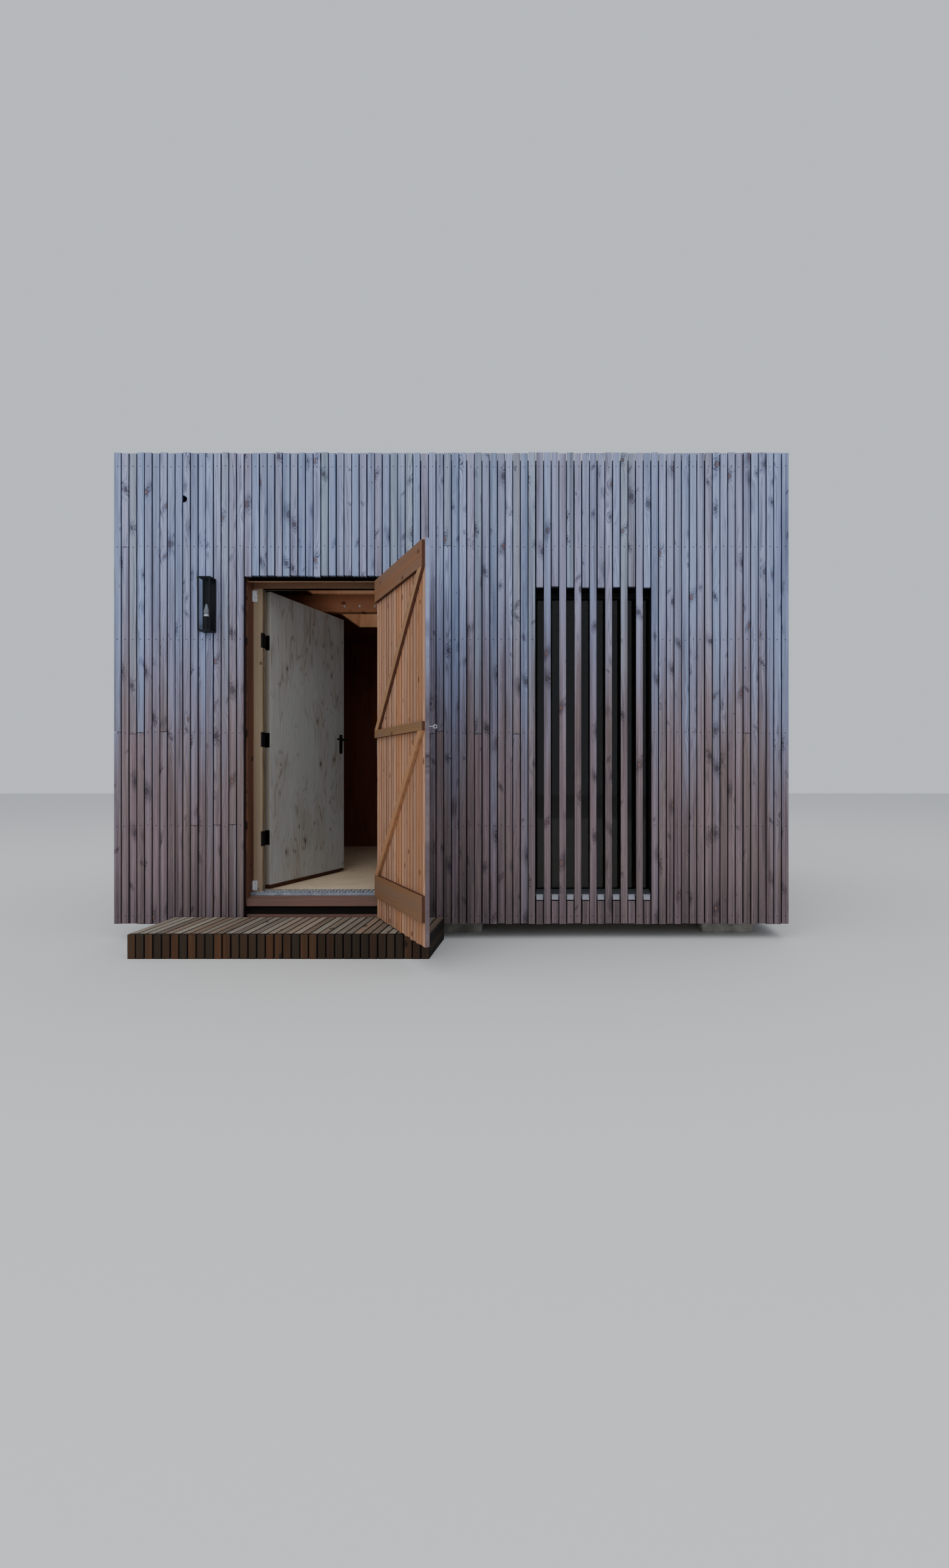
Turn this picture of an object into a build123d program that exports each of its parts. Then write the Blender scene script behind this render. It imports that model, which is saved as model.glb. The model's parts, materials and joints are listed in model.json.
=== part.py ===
# Garden office pod: a flat-roofed timber cabin clad in upright larch battens, with a hidden
# batten door, an inner door, a slatted window, a roof light, a wall lantern and a timber step.
# Millimetres, +Z up, the battened front faces -Y, origin at ground level under the middle.
import math
import os

from build123d import *

# Cladding battens
batten_width = 45.0
batten_depth = 25.0
batten_gap = 5.0
battens_left_of_door = 17
battens_over_door = 18
battens_door_to_window = 20
battens_at_window = 15
battens_right_of_window = 18
battens_on_side = 60

# Base and floor
pad_size = 350.0
pad_height = 100.0
pad_setback = 180.0
joist_width = 45.0
joist_height = 108.0
joist_spacing = 400.0
floor_thickness = 80.0

# Walls and roof
core_thickness = 160.0
lining_thickness = 12.0
ceiling_over_door = 134.0
ceiling_thickness = 15.0
roof_thickness = 388.0
parapet_rise = 197.0
cap_thickness = 30.0
cap_overlap = 14.0
batten_rise_over_wall = 68.0

# Counter-battens behind the cladding
counter_depth = 25.0
counter_height = 45.0
counter_foot_rise = 27.0
counter_rise_over_door = 168.0
counter_spacing = 606.0
counters_below_door_head = 3

# Roof light and beam, measured back from the front of the battens
well_from_left = 940.5
well_width = 1000.0
well_setback = 380.0
front_well_length = 520.0
well_divider = 148.0
rear_well_length = 1016.0
well_lining = 18.0
kerb_rise = 137.0
roof_glass_thickness = 24.0
roof_glass_lip = 12.0
beam_width = 75.0
beam_depth = 135.0

# Doorway
door_head = 2366.0
reveal_board = 20.0
frame_setback = 131.0
frame_face_width = 60.0
frame_rebate_width = 25.0
frame_head_height = 46.0
frame_head_rebate_height = 33.0
door_stop_gap = 6.0
sill_setback = 31.0
sill_nose_height = 47.0
sill_back_height = 60.0
plate_setback = 89.0
plate_thickness = 3.0
foot_rail_rise = 10.0
bracket_width = 27.0
bracket_return = 16.0
bracket_thickness = 3.0
head_bracket_drop = 60.0
head_bracket_height = 75.0
foot_bracket_rise = 8.0
foot_bracket_height = 64.0

# Window
window_head_drop = 71.0
cut_batten_bevel = 37.0
window_frame_setback = 130.0
window_frame_depth = 60.0
window_frame_width = 45.0
window_frame_sink = 33.0
window_sill_rise = 17.0
window_sill_edge = 13.0
window_sill_projection = 2.0
window_glass_inset = 20.0
window_glass_thickness = 24.0

# Outer door, shown standing open
outer_door_angle = 122.3
outer_door_clearance = 6.0
outer_door_head_gap = 34.0
outer_door_step_clearance = 7.0
ledge_thickness = 20.0
ledge_free_setback = 5.0
ledge_hinge_setback = 8.0
bottom_ledge_rise = 134.0
bottom_ledge_height = 144.0
middle_ledge_height = 50.0
top_ledge_height = 142.0
top_ledge_drop = 11.0
brace_width = 46.0
eye_height = 1332.0
eye_from_free_edge = 22.0
eye_shank_length = 30.0
eye_wire = 4.0
eye_ring_radius = 9.0

# Inner door, shown standing open
inner_door_angle = 75.0
inner_hinge_clearance = 5.0
inner_lock_clearance = 7.0
inner_head_clearance = 10.0
inner_floor_clearance = 8.0
inner_door_thickness = 44.0
inner_hinge_leaf_width = 35.0
inner_skin_rise = 22.0
inner_skin_thickness = 4.0
lock_from_edge = 42.0
lock_plate_width = 36.0
lock_plate_height = 152.0
lock_plate_thickness = 3.0
lock_plate_rise_over_lever = 41.0
lever_height = 1350.0
lever_length = 105.0
lever_radius = 8.0
lever_projection = 42.0
lever_gap = 1.0
spindle_radius = 4.0
spindle_hole_radius = 6.0
cylinder_drop = 75.0
cylinder_radius = 8.5
cylinder_tail_width = 10.0
cylinder_tail_height = 24.5
cylinder_projection = 2.0

# Butt hinges
hinge_pin_proud = 6.0
hinge_knuckle_radius = 5.0
hinge_pin_radius = 2.2
hinge_pin_clearance = 0.3
hinge_leaf_thickness = 2.0
hinge_height = 100.0
hinge_leaf_gap = 1.0
hinges_on_door = 3
outer_hinge_from_end = 195.0
inner_hinge_from_foot = 345.0
inner_hinge_spacing = 666.5

# Step
step_depth = 453.0
step_top = 143.0
step_board = 25.0
step_bearer = 45.0
step_boards_left_of_door = 9
step_boards_right_of_door = 8

# Wall lantern, measured from the left end of the front
lantern_from_left = 584.0
lantern_width = 82.0
lantern_depth = 75.0
lantern_bottom = 1994.0
lantern_height = 349.0
lantern_post = 8.0
lantern_end_plate = 8.0
lantern_back_plate = 6.0
lantern_glass_thickness = 3.0
lamp_holder_radius = 13.0
lamp_holder_height = 92.0
bulb_radius = 17.0
bulb_height = 80.0
bulb_shape = ((0.6, 0.0), (1.0, 0.35), (0.2, 1.0))

# Plan, worked out from the sizes above
batten_pitch = batten_width + batten_gap
battens_on_front = (
    battens_left_of_door + battens_over_door + battens_door_to_window
    + battens_at_window + battens_right_of_window
)
pod_width = battens_on_front * batten_pitch - batten_gap
side_cladding_length = battens_on_side * batten_pitch - batten_gap
pod_depth = side_cladding_length + 2 * (batten_depth + batten_gap)
left_end = -pod_width / 2
right_end = pod_width / 2
front_face = -pod_depth / 2
back_face = pod_depth / 2
wall_line = batten_depth + counter_depth
core_inner_line = wall_line + core_thickness
room_line = core_inner_line + lining_thickness
stop_end = room_line - inner_door_thickness - door_stop_gap

first_door_batten = battens_left_of_door
after_door_batten = first_door_batten + battens_over_door
first_window_batten = after_door_batten + battens_door_to_window
after_window_batten = first_window_batten + battens_at_window

# Heights, worked out from the sizes above
joist_top = pad_height + joist_height
floor_top = joist_top + floor_thickness
window_foot = floor_top
window_head = door_head - window_head_drop
ceiling_height = door_head + ceiling_over_door
roof_bottom = ceiling_height + ceiling_thickness
roof_surface = roof_bottom + roof_thickness
kerb_top = roof_surface + kerb_rise
core_top = roof_surface + parapet_rise
cladding_z = (pad_height, core_top + batten_rise_over_wall)


def batten_left(position):
    """Left edge of the batten at a position counted from the left end of the front."""
    return left_end + position * batten_pitch


door_left = batten_left(first_door_batten) - batten_gap
door_right = batten_left(after_door_batten)
window_left = batten_left(first_window_batten) - batten_gap
window_right = batten_left(after_window_batten)
frame_back = front_face + room_line


def block(x, y, z):
    """A box from three pairs of low and high limits."""
    size = (x[1] - x[0], y[1] - y[0], z[1] - z[0])
    middle = ((x[0] + x[1]) / 2, (y[0] + y[1]) / 2, (z[0] + z[1]) / 2)
    return Pos(*middle) * Box(*size)


def inset(line):
    """Plan limits of the pod, brought in by a distance on all four sides."""
    return (left_end + line, right_end - line), (front_face + line, back_face - line)


def depths(near, far):
    """Y limits between two distances behind the front of the battens."""
    return front_face + near, front_face + far


def ring(outer_line, inner_line, z):
    """A rectangular ring between two insets of the pod's plan."""
    outer_x, outer_y = inset(outer_line)
    inner_x, inner_y = inset(inner_line)
    return block(outer_x, outer_y, z) - block(inner_x, inner_y, z)


def side_profile(points, x):
    """A section drawn in depth and height, run along X between two limits."""
    section = make_face(Polyline([(front_face + d, z) for d, z in points], close=True))
    drawn = Plane(origin=(x[0], 0, 0), x_dir=(0, 1, 0), z_dir=(1, 0, 0)) * section
    return extrude(drawn, amount=x[1] - x[0])


def gather(solids):
    """Several solids that share one node."""
    return Compound(children=list(solids))


def swing(shape, pivot, angle):
    """Turn a shape about an upright axis through a pivot."""
    return Pos(*pivot) * Rot(0, 0, angle) * Pos(-pivot[0], -pivot[1], -pivot[2]) * shape


# Base and floor
def make_foundation_pads():
    reach_x = pod_width / 2 - pad_setback - pad_size / 2
    reach_y = pod_depth / 2 - pad_setback - pad_size / 2
    pad = Pos(0, 0, pad_height / 2) * Box(pad_size, pad_size, pad_height)
    return gather(
        Pos(column * reach_x, row * reach_y, 0) * pad
        for column in (-1, 0, 1)
        for row in (-1, 0, 1)
    )


def make_floor_rim():
    return ring(wall_line, wall_line + joist_width, (pad_height, joist_top))


def make_floor_joists():
    (x_low, x_high), y = inset(wall_line + joist_width)
    bays = round((x_high - x_low) / joist_spacing)
    step = (x_high - x_low) / bays
    middles = (x_low + bay * step for bay in range(1, bays))
    half = joist_width / 2
    z = (pad_height, joist_top)
    return gather(block((middle - half, middle + half), y, z) for middle in middles)


def make_floor():
    x, y = inset(core_inner_line)
    return block(x, y, (joist_top, floor_top))


# Walls
def make_front_walls():
    (x_low, x_high), _ = inset(core_inner_line)
    y = depths(wall_line, core_inner_line)
    z = (joist_top, core_top)
    head = door_head + reveal_board
    left = block((x_low, door_left - reveal_board), y, z)
    over = block((door_left - reveal_board, door_right + reveal_board), y, (head, core_top))
    right = block((door_right + reveal_board, x_high), y, z)
    right -= block(window_frame_x(), y, window_frame_z())
    return left, over, right


def make_side_walls():
    outer_x, y = inset(wall_line)
    inner_x, _ = inset(core_inner_line)
    z = (joist_top, core_top)
    left = block((outer_x[0], inner_x[0]), y, z)
    right = block((inner_x[1], outer_x[1]), y, z)
    return gather([left, right])


def make_back_wall():
    x, (_, inner_back) = inset(core_inner_line)
    _, (_, outer_back) = inset(wall_line)
    return block(x, (inner_back, outer_back), (joist_top, core_top))


def make_wall_lining():
    y = depths(core_inner_line, room_line)
    shell = ring(core_inner_line, room_line, (floor_top, ceiling_height))
    shell -= block((door_left, door_right), y, (floor_top, door_head))
    shell -= block((window_left, window_right), y, (window_foot + window_sill_rise, window_head))
    return shell


def make_parapet_cap():
    return ring(batten_depth, core_inner_line + cap_overlap, (core_top, core_top + cap_thickness))


# Roof
front_well = (well_setback, well_setback + front_well_length)
rear_well_start = front_well[1] + well_divider
rear_well = (rear_well_start, rear_well_start + rear_well_length)


def well_plan(line):
    """Plan limits of the two wells together, grown by a distance."""
    x_low = left_end + well_from_left
    x = (x_low - line, x_low + well_width + line)
    return x, depths(front_well[0] - line, rear_well[1] + line)


def make_ceiling():
    x, y = inset(core_inner_line)
    z = (ceiling_height, roof_bottom)
    return block(x, y, z) - block(*well_plan(well_lining), z)


def make_roof_slab():
    x, y = inset(core_inner_line)
    z = (roof_bottom, roof_surface)
    return block(x, y, z) - block(*well_plan(well_lining), z)


def make_roof_light_wells():
    z = (ceiling_height, kerb_top)
    wells = block(*well_plan(well_lining), z)
    x, _ = well_plan(0)
    for near, far in (front_well, rear_well):
        wells -= block(x, depths(near, far), z)
    return wells


def make_roof_glass():
    x, y = well_plan(well_lining + roof_glass_lip)
    pane = block(x, y, (kerb_top, kerb_top + roof_glass_thickness))
    return chamfer(pane.faces().sort_by(Axis.Z)[-1].edges(), roof_glass_thickness / 4)


def make_roof_beam():
    """The beam stands under the middle of the divider between the wells."""
    x, _ = inset(room_line)
    near = front_well[1] + (well_divider - beam_width) / 2
    y = depths(near, near + beam_width)
    return block(x, y, (ceiling_height - beam_depth, ceiling_height))


# Cladding
def counter_rows():
    """Lower edges of the rows of counter-battens, from the ground up."""
    over_door = door_head + counter_rise_over_door
    rows = [pad_height + counter_foot_rise]
    for count in range(counters_below_door_head, 0, -1):
        rows.append(over_door - count * counter_spacing)
    return rows + [over_door, core_top - counter_height]


def make_counter_battens():
    pieces = []
    y = depths(batten_depth, wall_line)
    for low in counter_rows():
        z = (low, low + counter_height)
        row = ring(batten_depth, wall_line, z)
        if low < door_head:
            row -= block((door_left, door_right), y, z)
        if window_frame_z()[0] < low < window_head:
            row -= block((window_left, window_right), y, z)
        pieces.extend(row.solids())
    return gather(pieces)


def front_panel(first, after, z):
    """A flush run of battens on the front, from one position up to another."""
    x = (batten_left(first), batten_left(after) - batten_gap)
    return block(x, depths(0, batten_depth), z)


def make_front_claddings():
    left = front_panel(0, first_door_batten, cladding_z)
    over = front_panel(first_door_batten, after_door_batten, (door_head, cladding_z[1]))
    middle = front_panel(after_door_batten, first_window_batten, cladding_z)
    right = front_panel(after_window_batten, battens_on_front, cladding_z)
    return left, over, middle, right


def make_window_slats():
    """The whole battens that run on over the window, every second one."""
    places = range(first_window_batten + 1, after_window_batten, 2)
    return gather(front_panel(place, place + 1, cladding_z) for place in places)


def make_window_cut_battens():
    """The battens between the slats, cut at the head and bevelled below the window."""
    foot = [
        (0, cladding_z[0]),
        (batten_depth, cladding_z[0]),
        (batten_depth, window_foot),
        (0, window_foot - cut_batten_bevel),
    ]
    pieces = []
    for place in range(first_window_batten, after_window_batten, 2):
        x = (batten_left(place), batten_left(place) + batten_width)
        pieces.append(side_profile(foot, x))
        pieces.append(front_panel(place, place + 1, (window_head, cladding_z[1])))
    return gather(pieces)


def make_side_cladding():
    line = batten_depth + batten_gap
    y = (front_face + line, back_face - line)
    left = block((left_end, left_end + batten_depth), y, cladding_z)
    right = block((right_end - batten_depth, right_end), y, cladding_z)
    return gather([left, right])


def make_back_cladding():
    return block((left_end, right_end), (back_face - batten_depth, back_face), cladding_z)


# Window
def window_frame_x():
    return window_left - window_frame_width, window_right + window_frame_width


def window_frame_z():
    return window_foot - window_frame_sink, window_head


def window_glass_z():
    low, high = window_frame_z()
    return low + window_frame_width, high - window_frame_width


def make_window_frame():
    y = depths(window_frame_setback, window_frame_setback + window_frame_depth)
    frame = block(window_frame_x(), y, window_frame_z())
    return frame - block((window_left, window_right), y, window_glass_z())


def make_window_glass():
    near = window_frame_setback + window_glass_inset
    y = depths(near, near + window_glass_thickness)
    return block((window_left, window_right), y, window_glass_z())


def make_window_sill():
    """The sheet sill: it falls forward from the frame and laps over the cut battens."""
    nose = batten_depth + window_sill_projection
    bottom, _ = window_frame_z()
    section = [
        (wall_line, bottom),
        (window_frame_setback, bottom),
        (window_frame_setback, window_foot + window_sill_rise),
        (nose, window_foot),
        (nose, window_foot - window_sill_edge),
        (wall_line, window_foot - window_sill_edge),
    ]
    return side_profile(section, (window_left, window_right))


# Doorway
def make_door_lining():
    y = depths(wall_line, core_inner_line)
    x = (door_left - reveal_board, door_right + reveal_board)
    outside = block(x, y, (joist_top, door_head + reveal_board))
    return outside - block((door_left, door_right), y, (joist_top, door_head))


def doorway_surround(y, width, height):
    """Two jambs and a head of given widths, inside the doorway's lining."""
    outside = block((door_left, door_right), y, (floor_top, door_head))
    return outside - block((door_left + width, door_right - width), y, (floor_top, door_head - height))


def make_door_frame():
    """The frame round the leaf, behind the stop that the leaf closes against."""
    return doorway_surround(depths(stop_end, room_line), frame_rebate_width, frame_head_rebate_height)


def make_door_stop():
    return doorway_surround(depths(frame_setback, stop_end), frame_face_width, frame_head_height)


def make_door_sill():
    packer_top = floor_top - plate_thickness
    lip = plate_setback + plate_thickness
    section = [
        (sill_setback, joist_top),
        (core_inner_line, joist_top),
        (core_inner_line, packer_top),
        (lip, packer_top),
        (lip, joist_top + sill_back_height),
        (sill_setback, joist_top + sill_nose_height),
    ]
    return side_profile(section, (door_left, door_right))


def make_threshold_plate():
    """A sheet that covers the sill and turns down over its front."""
    lip = plate_setback + plate_thickness
    section = [
        (plate_setback, joist_top + sill_back_height),
        (lip, joist_top + sill_back_height),
        (lip, floor_top - plate_thickness),
        (core_inner_line, floor_top - plate_thickness),
        (core_inner_line, floor_top),
        (plate_setback, floor_top),
    ]
    return side_profile(section, (door_left, door_right))


def make_foot_rail():
    """A batten across the foot of the doorway, fixed to the floor's rim behind the step."""
    top = step_top + foot_rail_rise
    x = (door_left + batten_gap, door_right - batten_gap)
    return block(x, depths(sill_setback, wall_line), (top - batten_width, top))


def make_jamb_brackets():
    head_top = door_head - head_bracket_drop
    foot_low = floor_top + foot_bracket_rise
    spans = (
        (head_top - head_bracket_height, head_top),
        (foot_low, foot_low + foot_bracket_height),
    )
    brackets = []
    for span in spans:
        face_y = depths(frame_setback - bracket_thickness, frame_setback)
        wing_y = depths(frame_setback - bracket_return, frame_setback)
        face = block((door_left, door_left + bracket_width), face_y, span)
        wing = block((door_left, door_left + bracket_thickness), wing_y, span)
        brackets.append(face + wing)
    return gather(brackets)


# Hinges, drawn closed about an axis at the origin with the moving leaf on one side
def butt_hinge(clearance, leaf_width, moving_side):
    """Fixed and moving halves of a hinge whose plates lie in a gap beside the axis."""
    third = hinge_height / 3
    outer = clearance / 2
    inner = outer - hinge_leaf_thickness
    far = hinge_pin_proud + leaf_width
    near = hinge_knuckle_radius + hinge_leaf_gap
    low, high = -hinge_height / 2, hinge_height / 2

    def plate(side, knuckles):
        x = sorted((side * inner, side * outer))
        half = block(x, (near, far), (low, high))
        for start in knuckles:
            z = (start + hinge_leaf_gap / 2, start + third - hinge_leaf_gap / 2)
            tab = block(x, (0, near), z)
            length = z[1] - z[0]
            half += tab + Pos(0, 0, (z[0] + z[1]) / 2) * Cylinder(hinge_knuckle_radius, length)
        return half

    middle = low + third
    fixed = plate(-moving_side, (low, middle + third))
    fixed += Cylinder(hinge_pin_radius, hinge_height - hinge_leaf_gap)
    bore = Cylinder(hinge_pin_radius + hinge_pin_clearance, hinge_height)
    moving = plate(moving_side, (middle,)) - bore
    return fixed, moving


def place_hinges(half, pivot, turn, levels):
    """Copies of one hinge half at each level, turned about the upright axis."""
    return gather(Pos(pivot[0], pivot[1], level) * Rot(0, 0, turn) * half for level in levels)


# Outer door: drawn closed, then swung open about its hinge axis
outer_pivot = (door_right - outer_door_clearance / 2, front_face - hinge_pin_proud, 0.0)
outer_leaf_x = (door_left + outer_door_clearance, door_right - outer_door_clearance)
outer_leaf_z = (step_top + outer_door_step_clearance, door_head - outer_door_head_gap)


def make_outer_boards():
    closed = block(outer_leaf_x, depths(0, batten_depth), outer_leaf_z)
    return swing(closed, outer_pivot, outer_door_angle)


def ledge_x():
    return outer_leaf_x[0] + ledge_free_setback, outer_leaf_x[1] - ledge_hinge_setback


def ledge_spans():
    """Height limits of the three ledges, from the lowest up."""
    bottom = outer_leaf_z[0] + bottom_ledge_rise
    half = middle_ledge_height / 2
    top = outer_leaf_z[1] - top_ledge_drop
    return (
        (bottom, bottom + bottom_ledge_height),
        (eye_height - half, eye_height + half),
        (top - top_ledge_height, top),
    )


def make_outer_ledges():
    y = depths(batten_depth, batten_depth + ledge_thickness)
    ledges = gather(block(ledge_x(), y, span) for span in ledge_spans())
    return swing(ledges, outer_pivot, outer_door_angle)


def make_outer_braces():
    """Each brace climbs from the hinge side of one ledge to the free side of the next."""
    free_side, hinge_side = ledge_x()
    spans = ledge_spans()
    plane = Plane(origin=(0, front_face + batten_depth, 0), x_dir=(1, 0, 0), z_dir=(0, -1, 0))
    braces = []
    for lower, upper in zip(spans, spans[1:]):
        foot, head = lower[1], upper[0]
        slope = math.atan2(head - foot, hinge_side - free_side)
        cut = brace_width / math.sin(slope)
        corners = [
            (hinge_side, foot),
            (hinge_side - cut, foot),
            (free_side, head),
            (free_side + cut, head),
        ]
        section = make_face(Polyline(corners, close=True))
        braces.append(extrude(plane * section, amount=-ledge_thickness))
    return swing(gather(braces), outer_pivot, outer_door_angle)


def make_outer_eye():
    """A screw eye: its ring of six-sided wire stands upright at the end of a shank."""
    shank = Rot(90, 0, 0) * Cylinder(eye_wire / 2, eye_shank_length)
    section = Pos(eye_ring_radius, 0) * RegularPolygon(eye_wire / 2, 6)
    wire = revolve(Plane.XZ * section, Axis.Z)
    centre = -eye_shank_length / 2 - eye_ring_radius
    eye = shank + Pos(0, centre, 0) * (Rot(0, 90, 0) * wire)
    x = outer_leaf_x[0] + eye_from_free_edge
    eye = Pos(x, front_face - eye_shank_length / 2, eye_height) * eye
    return swing(eye, outer_pivot, outer_door_angle)


def outer_hinge_levels():
    low = outer_leaf_z[0] + outer_hinge_from_end
    high = outer_leaf_z[1] - outer_hinge_from_end
    spacing = (high - low) / (hinges_on_door - 1)
    return [low + count * spacing for count in range(hinges_on_door)]


# Inner door: drawn closed, then swung open about its hinge axis
inner_pivot = (
    door_left + frame_rebate_width + inner_hinge_clearance / 2,
    frame_back + hinge_pin_proud,
    0.0,
)
inner_leaf_x = (
    door_left + frame_rebate_width + inner_hinge_clearance,
    door_right - frame_rebate_width - inner_lock_clearance,
)
inner_leaf_y = (frame_back - inner_door_thickness, frame_back)
inner_leaf_z = (
    floor_top + inner_floor_clearance,
    door_head - frame_head_rebate_height - inner_head_clearance,
)
lock_x = inner_leaf_x[1] - lock_from_edge


def cross_bar(radius, x, y, z):
    """A round bar through the leaf, along Y between two limits."""
    bar = Rot(90, 0, 0) * Cylinder(radius, y[1] - y[0])
    return Pos(x, (y[0] + y[1]) / 2, z) * bar


def make_inner_leaf():
    """The core runs on below the two skins, which stop short of its bottom edge."""
    leaf = block(inner_leaf_x, inner_leaf_y, inner_leaf_z)
    foot = (inner_leaf_z[0], inner_leaf_z[0] + inner_skin_rise)
    near, far = inner_leaf_y
    leaf -= block(inner_leaf_x, (near, near + inner_skin_thickness), foot)
    leaf -= block(inner_leaf_x, (far - inner_skin_thickness, far), foot)
    leaf -= cross_bar(spindle_hole_radius, lock_x, inner_leaf_y, lever_height)
    return swing(leaf, inner_pivot, inner_door_angle)


def make_lock_plates():
    """A plate on each face with the end of the key cylinder: a disc with a tail below it."""
    x = (lock_x - lock_plate_width / 2, lock_x + lock_plate_width / 2)
    top = lever_height + lock_plate_rise_over_lever
    cylinder_height = lever_height - cylinder_drop
    tail_x = (lock_x - cylinder_tail_width / 2, lock_x + cylinder_tail_width / 2)
    near, far = inner_leaf_y
    plates = []
    for face, side in ((near, -1), (far, 1)):
        y = sorted((face, face + side * lock_plate_thickness))
        proud_y = sorted((face, face + side * (lock_plate_thickness + cylinder_projection)))
        plate = block(x, y, (top - lock_plate_height, top))
        plate = fillet(plate.edges().filter_by(Axis.Y), lock_plate_width / 4)
        plate += cross_bar(cylinder_radius, lock_x, proud_y, cylinder_height)
        plate += block(tail_x, proud_y, (cylinder_height - cylinder_tail_height, cylinder_height))
        plates.append(plate - cross_bar(spindle_hole_radius, lock_x, y, lever_height))
    return swing(gather(plates), inner_pivot, inner_door_angle)


def make_lever_handles():
    """Two levers on one spindle, each a neck out from the plate and a grip along it."""
    near = inner_leaf_y[0] - lock_plate_thickness - lever_projection
    far = inner_leaf_y[1] + lock_plate_thickness + lever_projection
    handle = cross_bar(spindle_radius, lock_x, (near, far), lever_height)
    grip = Rot(0, 90, 0) * Cylinder(lever_radius, lever_length)
    grip = chamfer(grip.edges().filter_by(GeomType.CIRCLE), lever_radius / 4)
    for side, face in ((-1, inner_leaf_y[0]), (1, inner_leaf_y[1])):
        start = face + side * (lock_plate_thickness + lever_gap)
        end = face + side * (lock_plate_thickness + lever_projection)
        neck_y = sorted((start, end + side * lever_radius))
        handle += cross_bar(lever_radius, lock_x, neck_y, lever_height)
        handle += Pos(lock_x - lever_length / 2, end, lever_height) * grip
    return swing(handle, inner_pivot, inner_door_angle)


def inner_hinge_levels():
    low = inner_leaf_z[0] + inner_hinge_from_foot
    return [low + count * inner_hinge_spacing for count in range(hinges_on_door)]


# Step: boards stand along its front, with the deck behind them on bearers and end planks
step_x = (
    door_left - step_boards_left_of_door * batten_pitch,
    door_right + step_boards_right_of_door * batten_pitch,
)


def step_inside(line):
    """Plan limits of the step, brought in from its front and its two ends."""
    return (step_x[0] + line, step_x[1] - line), depths(line - step_depth, 0)


def make_step_skirt():
    """Front boards at full height, and a plank along each end that stops under the deck."""
    x, y = step_inside(0)
    inner_x, inner_y = step_inside(step_board)
    front = block(x, (y[0], inner_y[0]), (0, step_top))
    z = (0, step_top - step_board)
    left = block((x[0], inner_x[0]), inner_y, z)
    right = block((inner_x[1], x[1]), inner_y, z)
    return gather([front, left, right])


def make_step_bearers():
    z = (0, step_top - step_board)
    x, y = step_inside(step_board + step_bearer)
    return block(*step_inside(step_board), z) - block(x, (y[0], y[1] - step_bearer), z)


def make_step_deck():
    x, _ = step_inside(0)
    _, y = step_inside(step_board)
    return block(x, y, (step_top - step_board, step_top))


# Wall lantern
lantern_x = (left_end + lantern_from_left, left_end + lantern_from_left + lantern_width)
lantern_y = (front_face - lantern_depth, front_face)
lantern_z = (lantern_bottom, lantern_bottom + lantern_height)
lantern_inside = (lantern_z[0] + lantern_end_plate, lantern_z[1] - lantern_end_plate)


def make_lantern_case():
    case = block(lantern_x, lantern_y, lantern_z)
    glass_x = (lantern_x[0] + lantern_post, lantern_x[1] - lantern_post)
    back_y = lantern_y[1] - lantern_back_plate
    glass_y = (lantern_y[0] + lantern_post, back_y - lantern_post)
    case -= block(glass_x, (lantern_y[0], back_y), lantern_inside)
    case -= block(lantern_x, glass_y, lantern_inside)
    return case


def make_lantern_glass():
    glass_x = (lantern_x[0] + lantern_post, lantern_x[1] - lantern_post)
    glass_y = (lantern_y[0] + lantern_post, lantern_y[1] - lantern_back_plate - lantern_post)
    middle = lantern_post / 2
    front_y = lantern_y[0] + middle
    half = lantern_glass_thickness / 2
    panes = [block(glass_x, (front_y - half, front_y + half), lantern_inside)]
    for x in (lantern_x[0] + middle, lantern_x[1] - middle):
        panes.append(block((x - half, x + half), glass_y, lantern_inside))
    return gather(panes)


def lamp_centre():
    x = (lantern_x[0] + lantern_x[1]) / 2
    y = (lantern_y[0] + lantern_y[1] - lantern_back_plate) / 2
    return x, y


def make_lamp_holder():
    x, y = lamp_centre()
    low = lantern_inside[0]
    return Pos(x, y, low + lamp_holder_height / 2) * Cylinder(lamp_holder_radius, lamp_holder_height)


def make_lamp_bulb():
    """A candle bulb: half its outline, turned about its own axis."""
    x, y = lamp_centre()
    low = lantern_inside[0] + lamp_holder_height
    outline = [(0.0, 0.0)]
    outline += [(share * bulb_radius, rise * bulb_height) for share, rise in bulb_shape]
    outline.append((0.0, bulb_height))
    section = make_face(Polyline(outline, close=True))
    return Pos(x, y, low) * revolve(Plane.XZ * section, Axis.Z)


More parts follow.
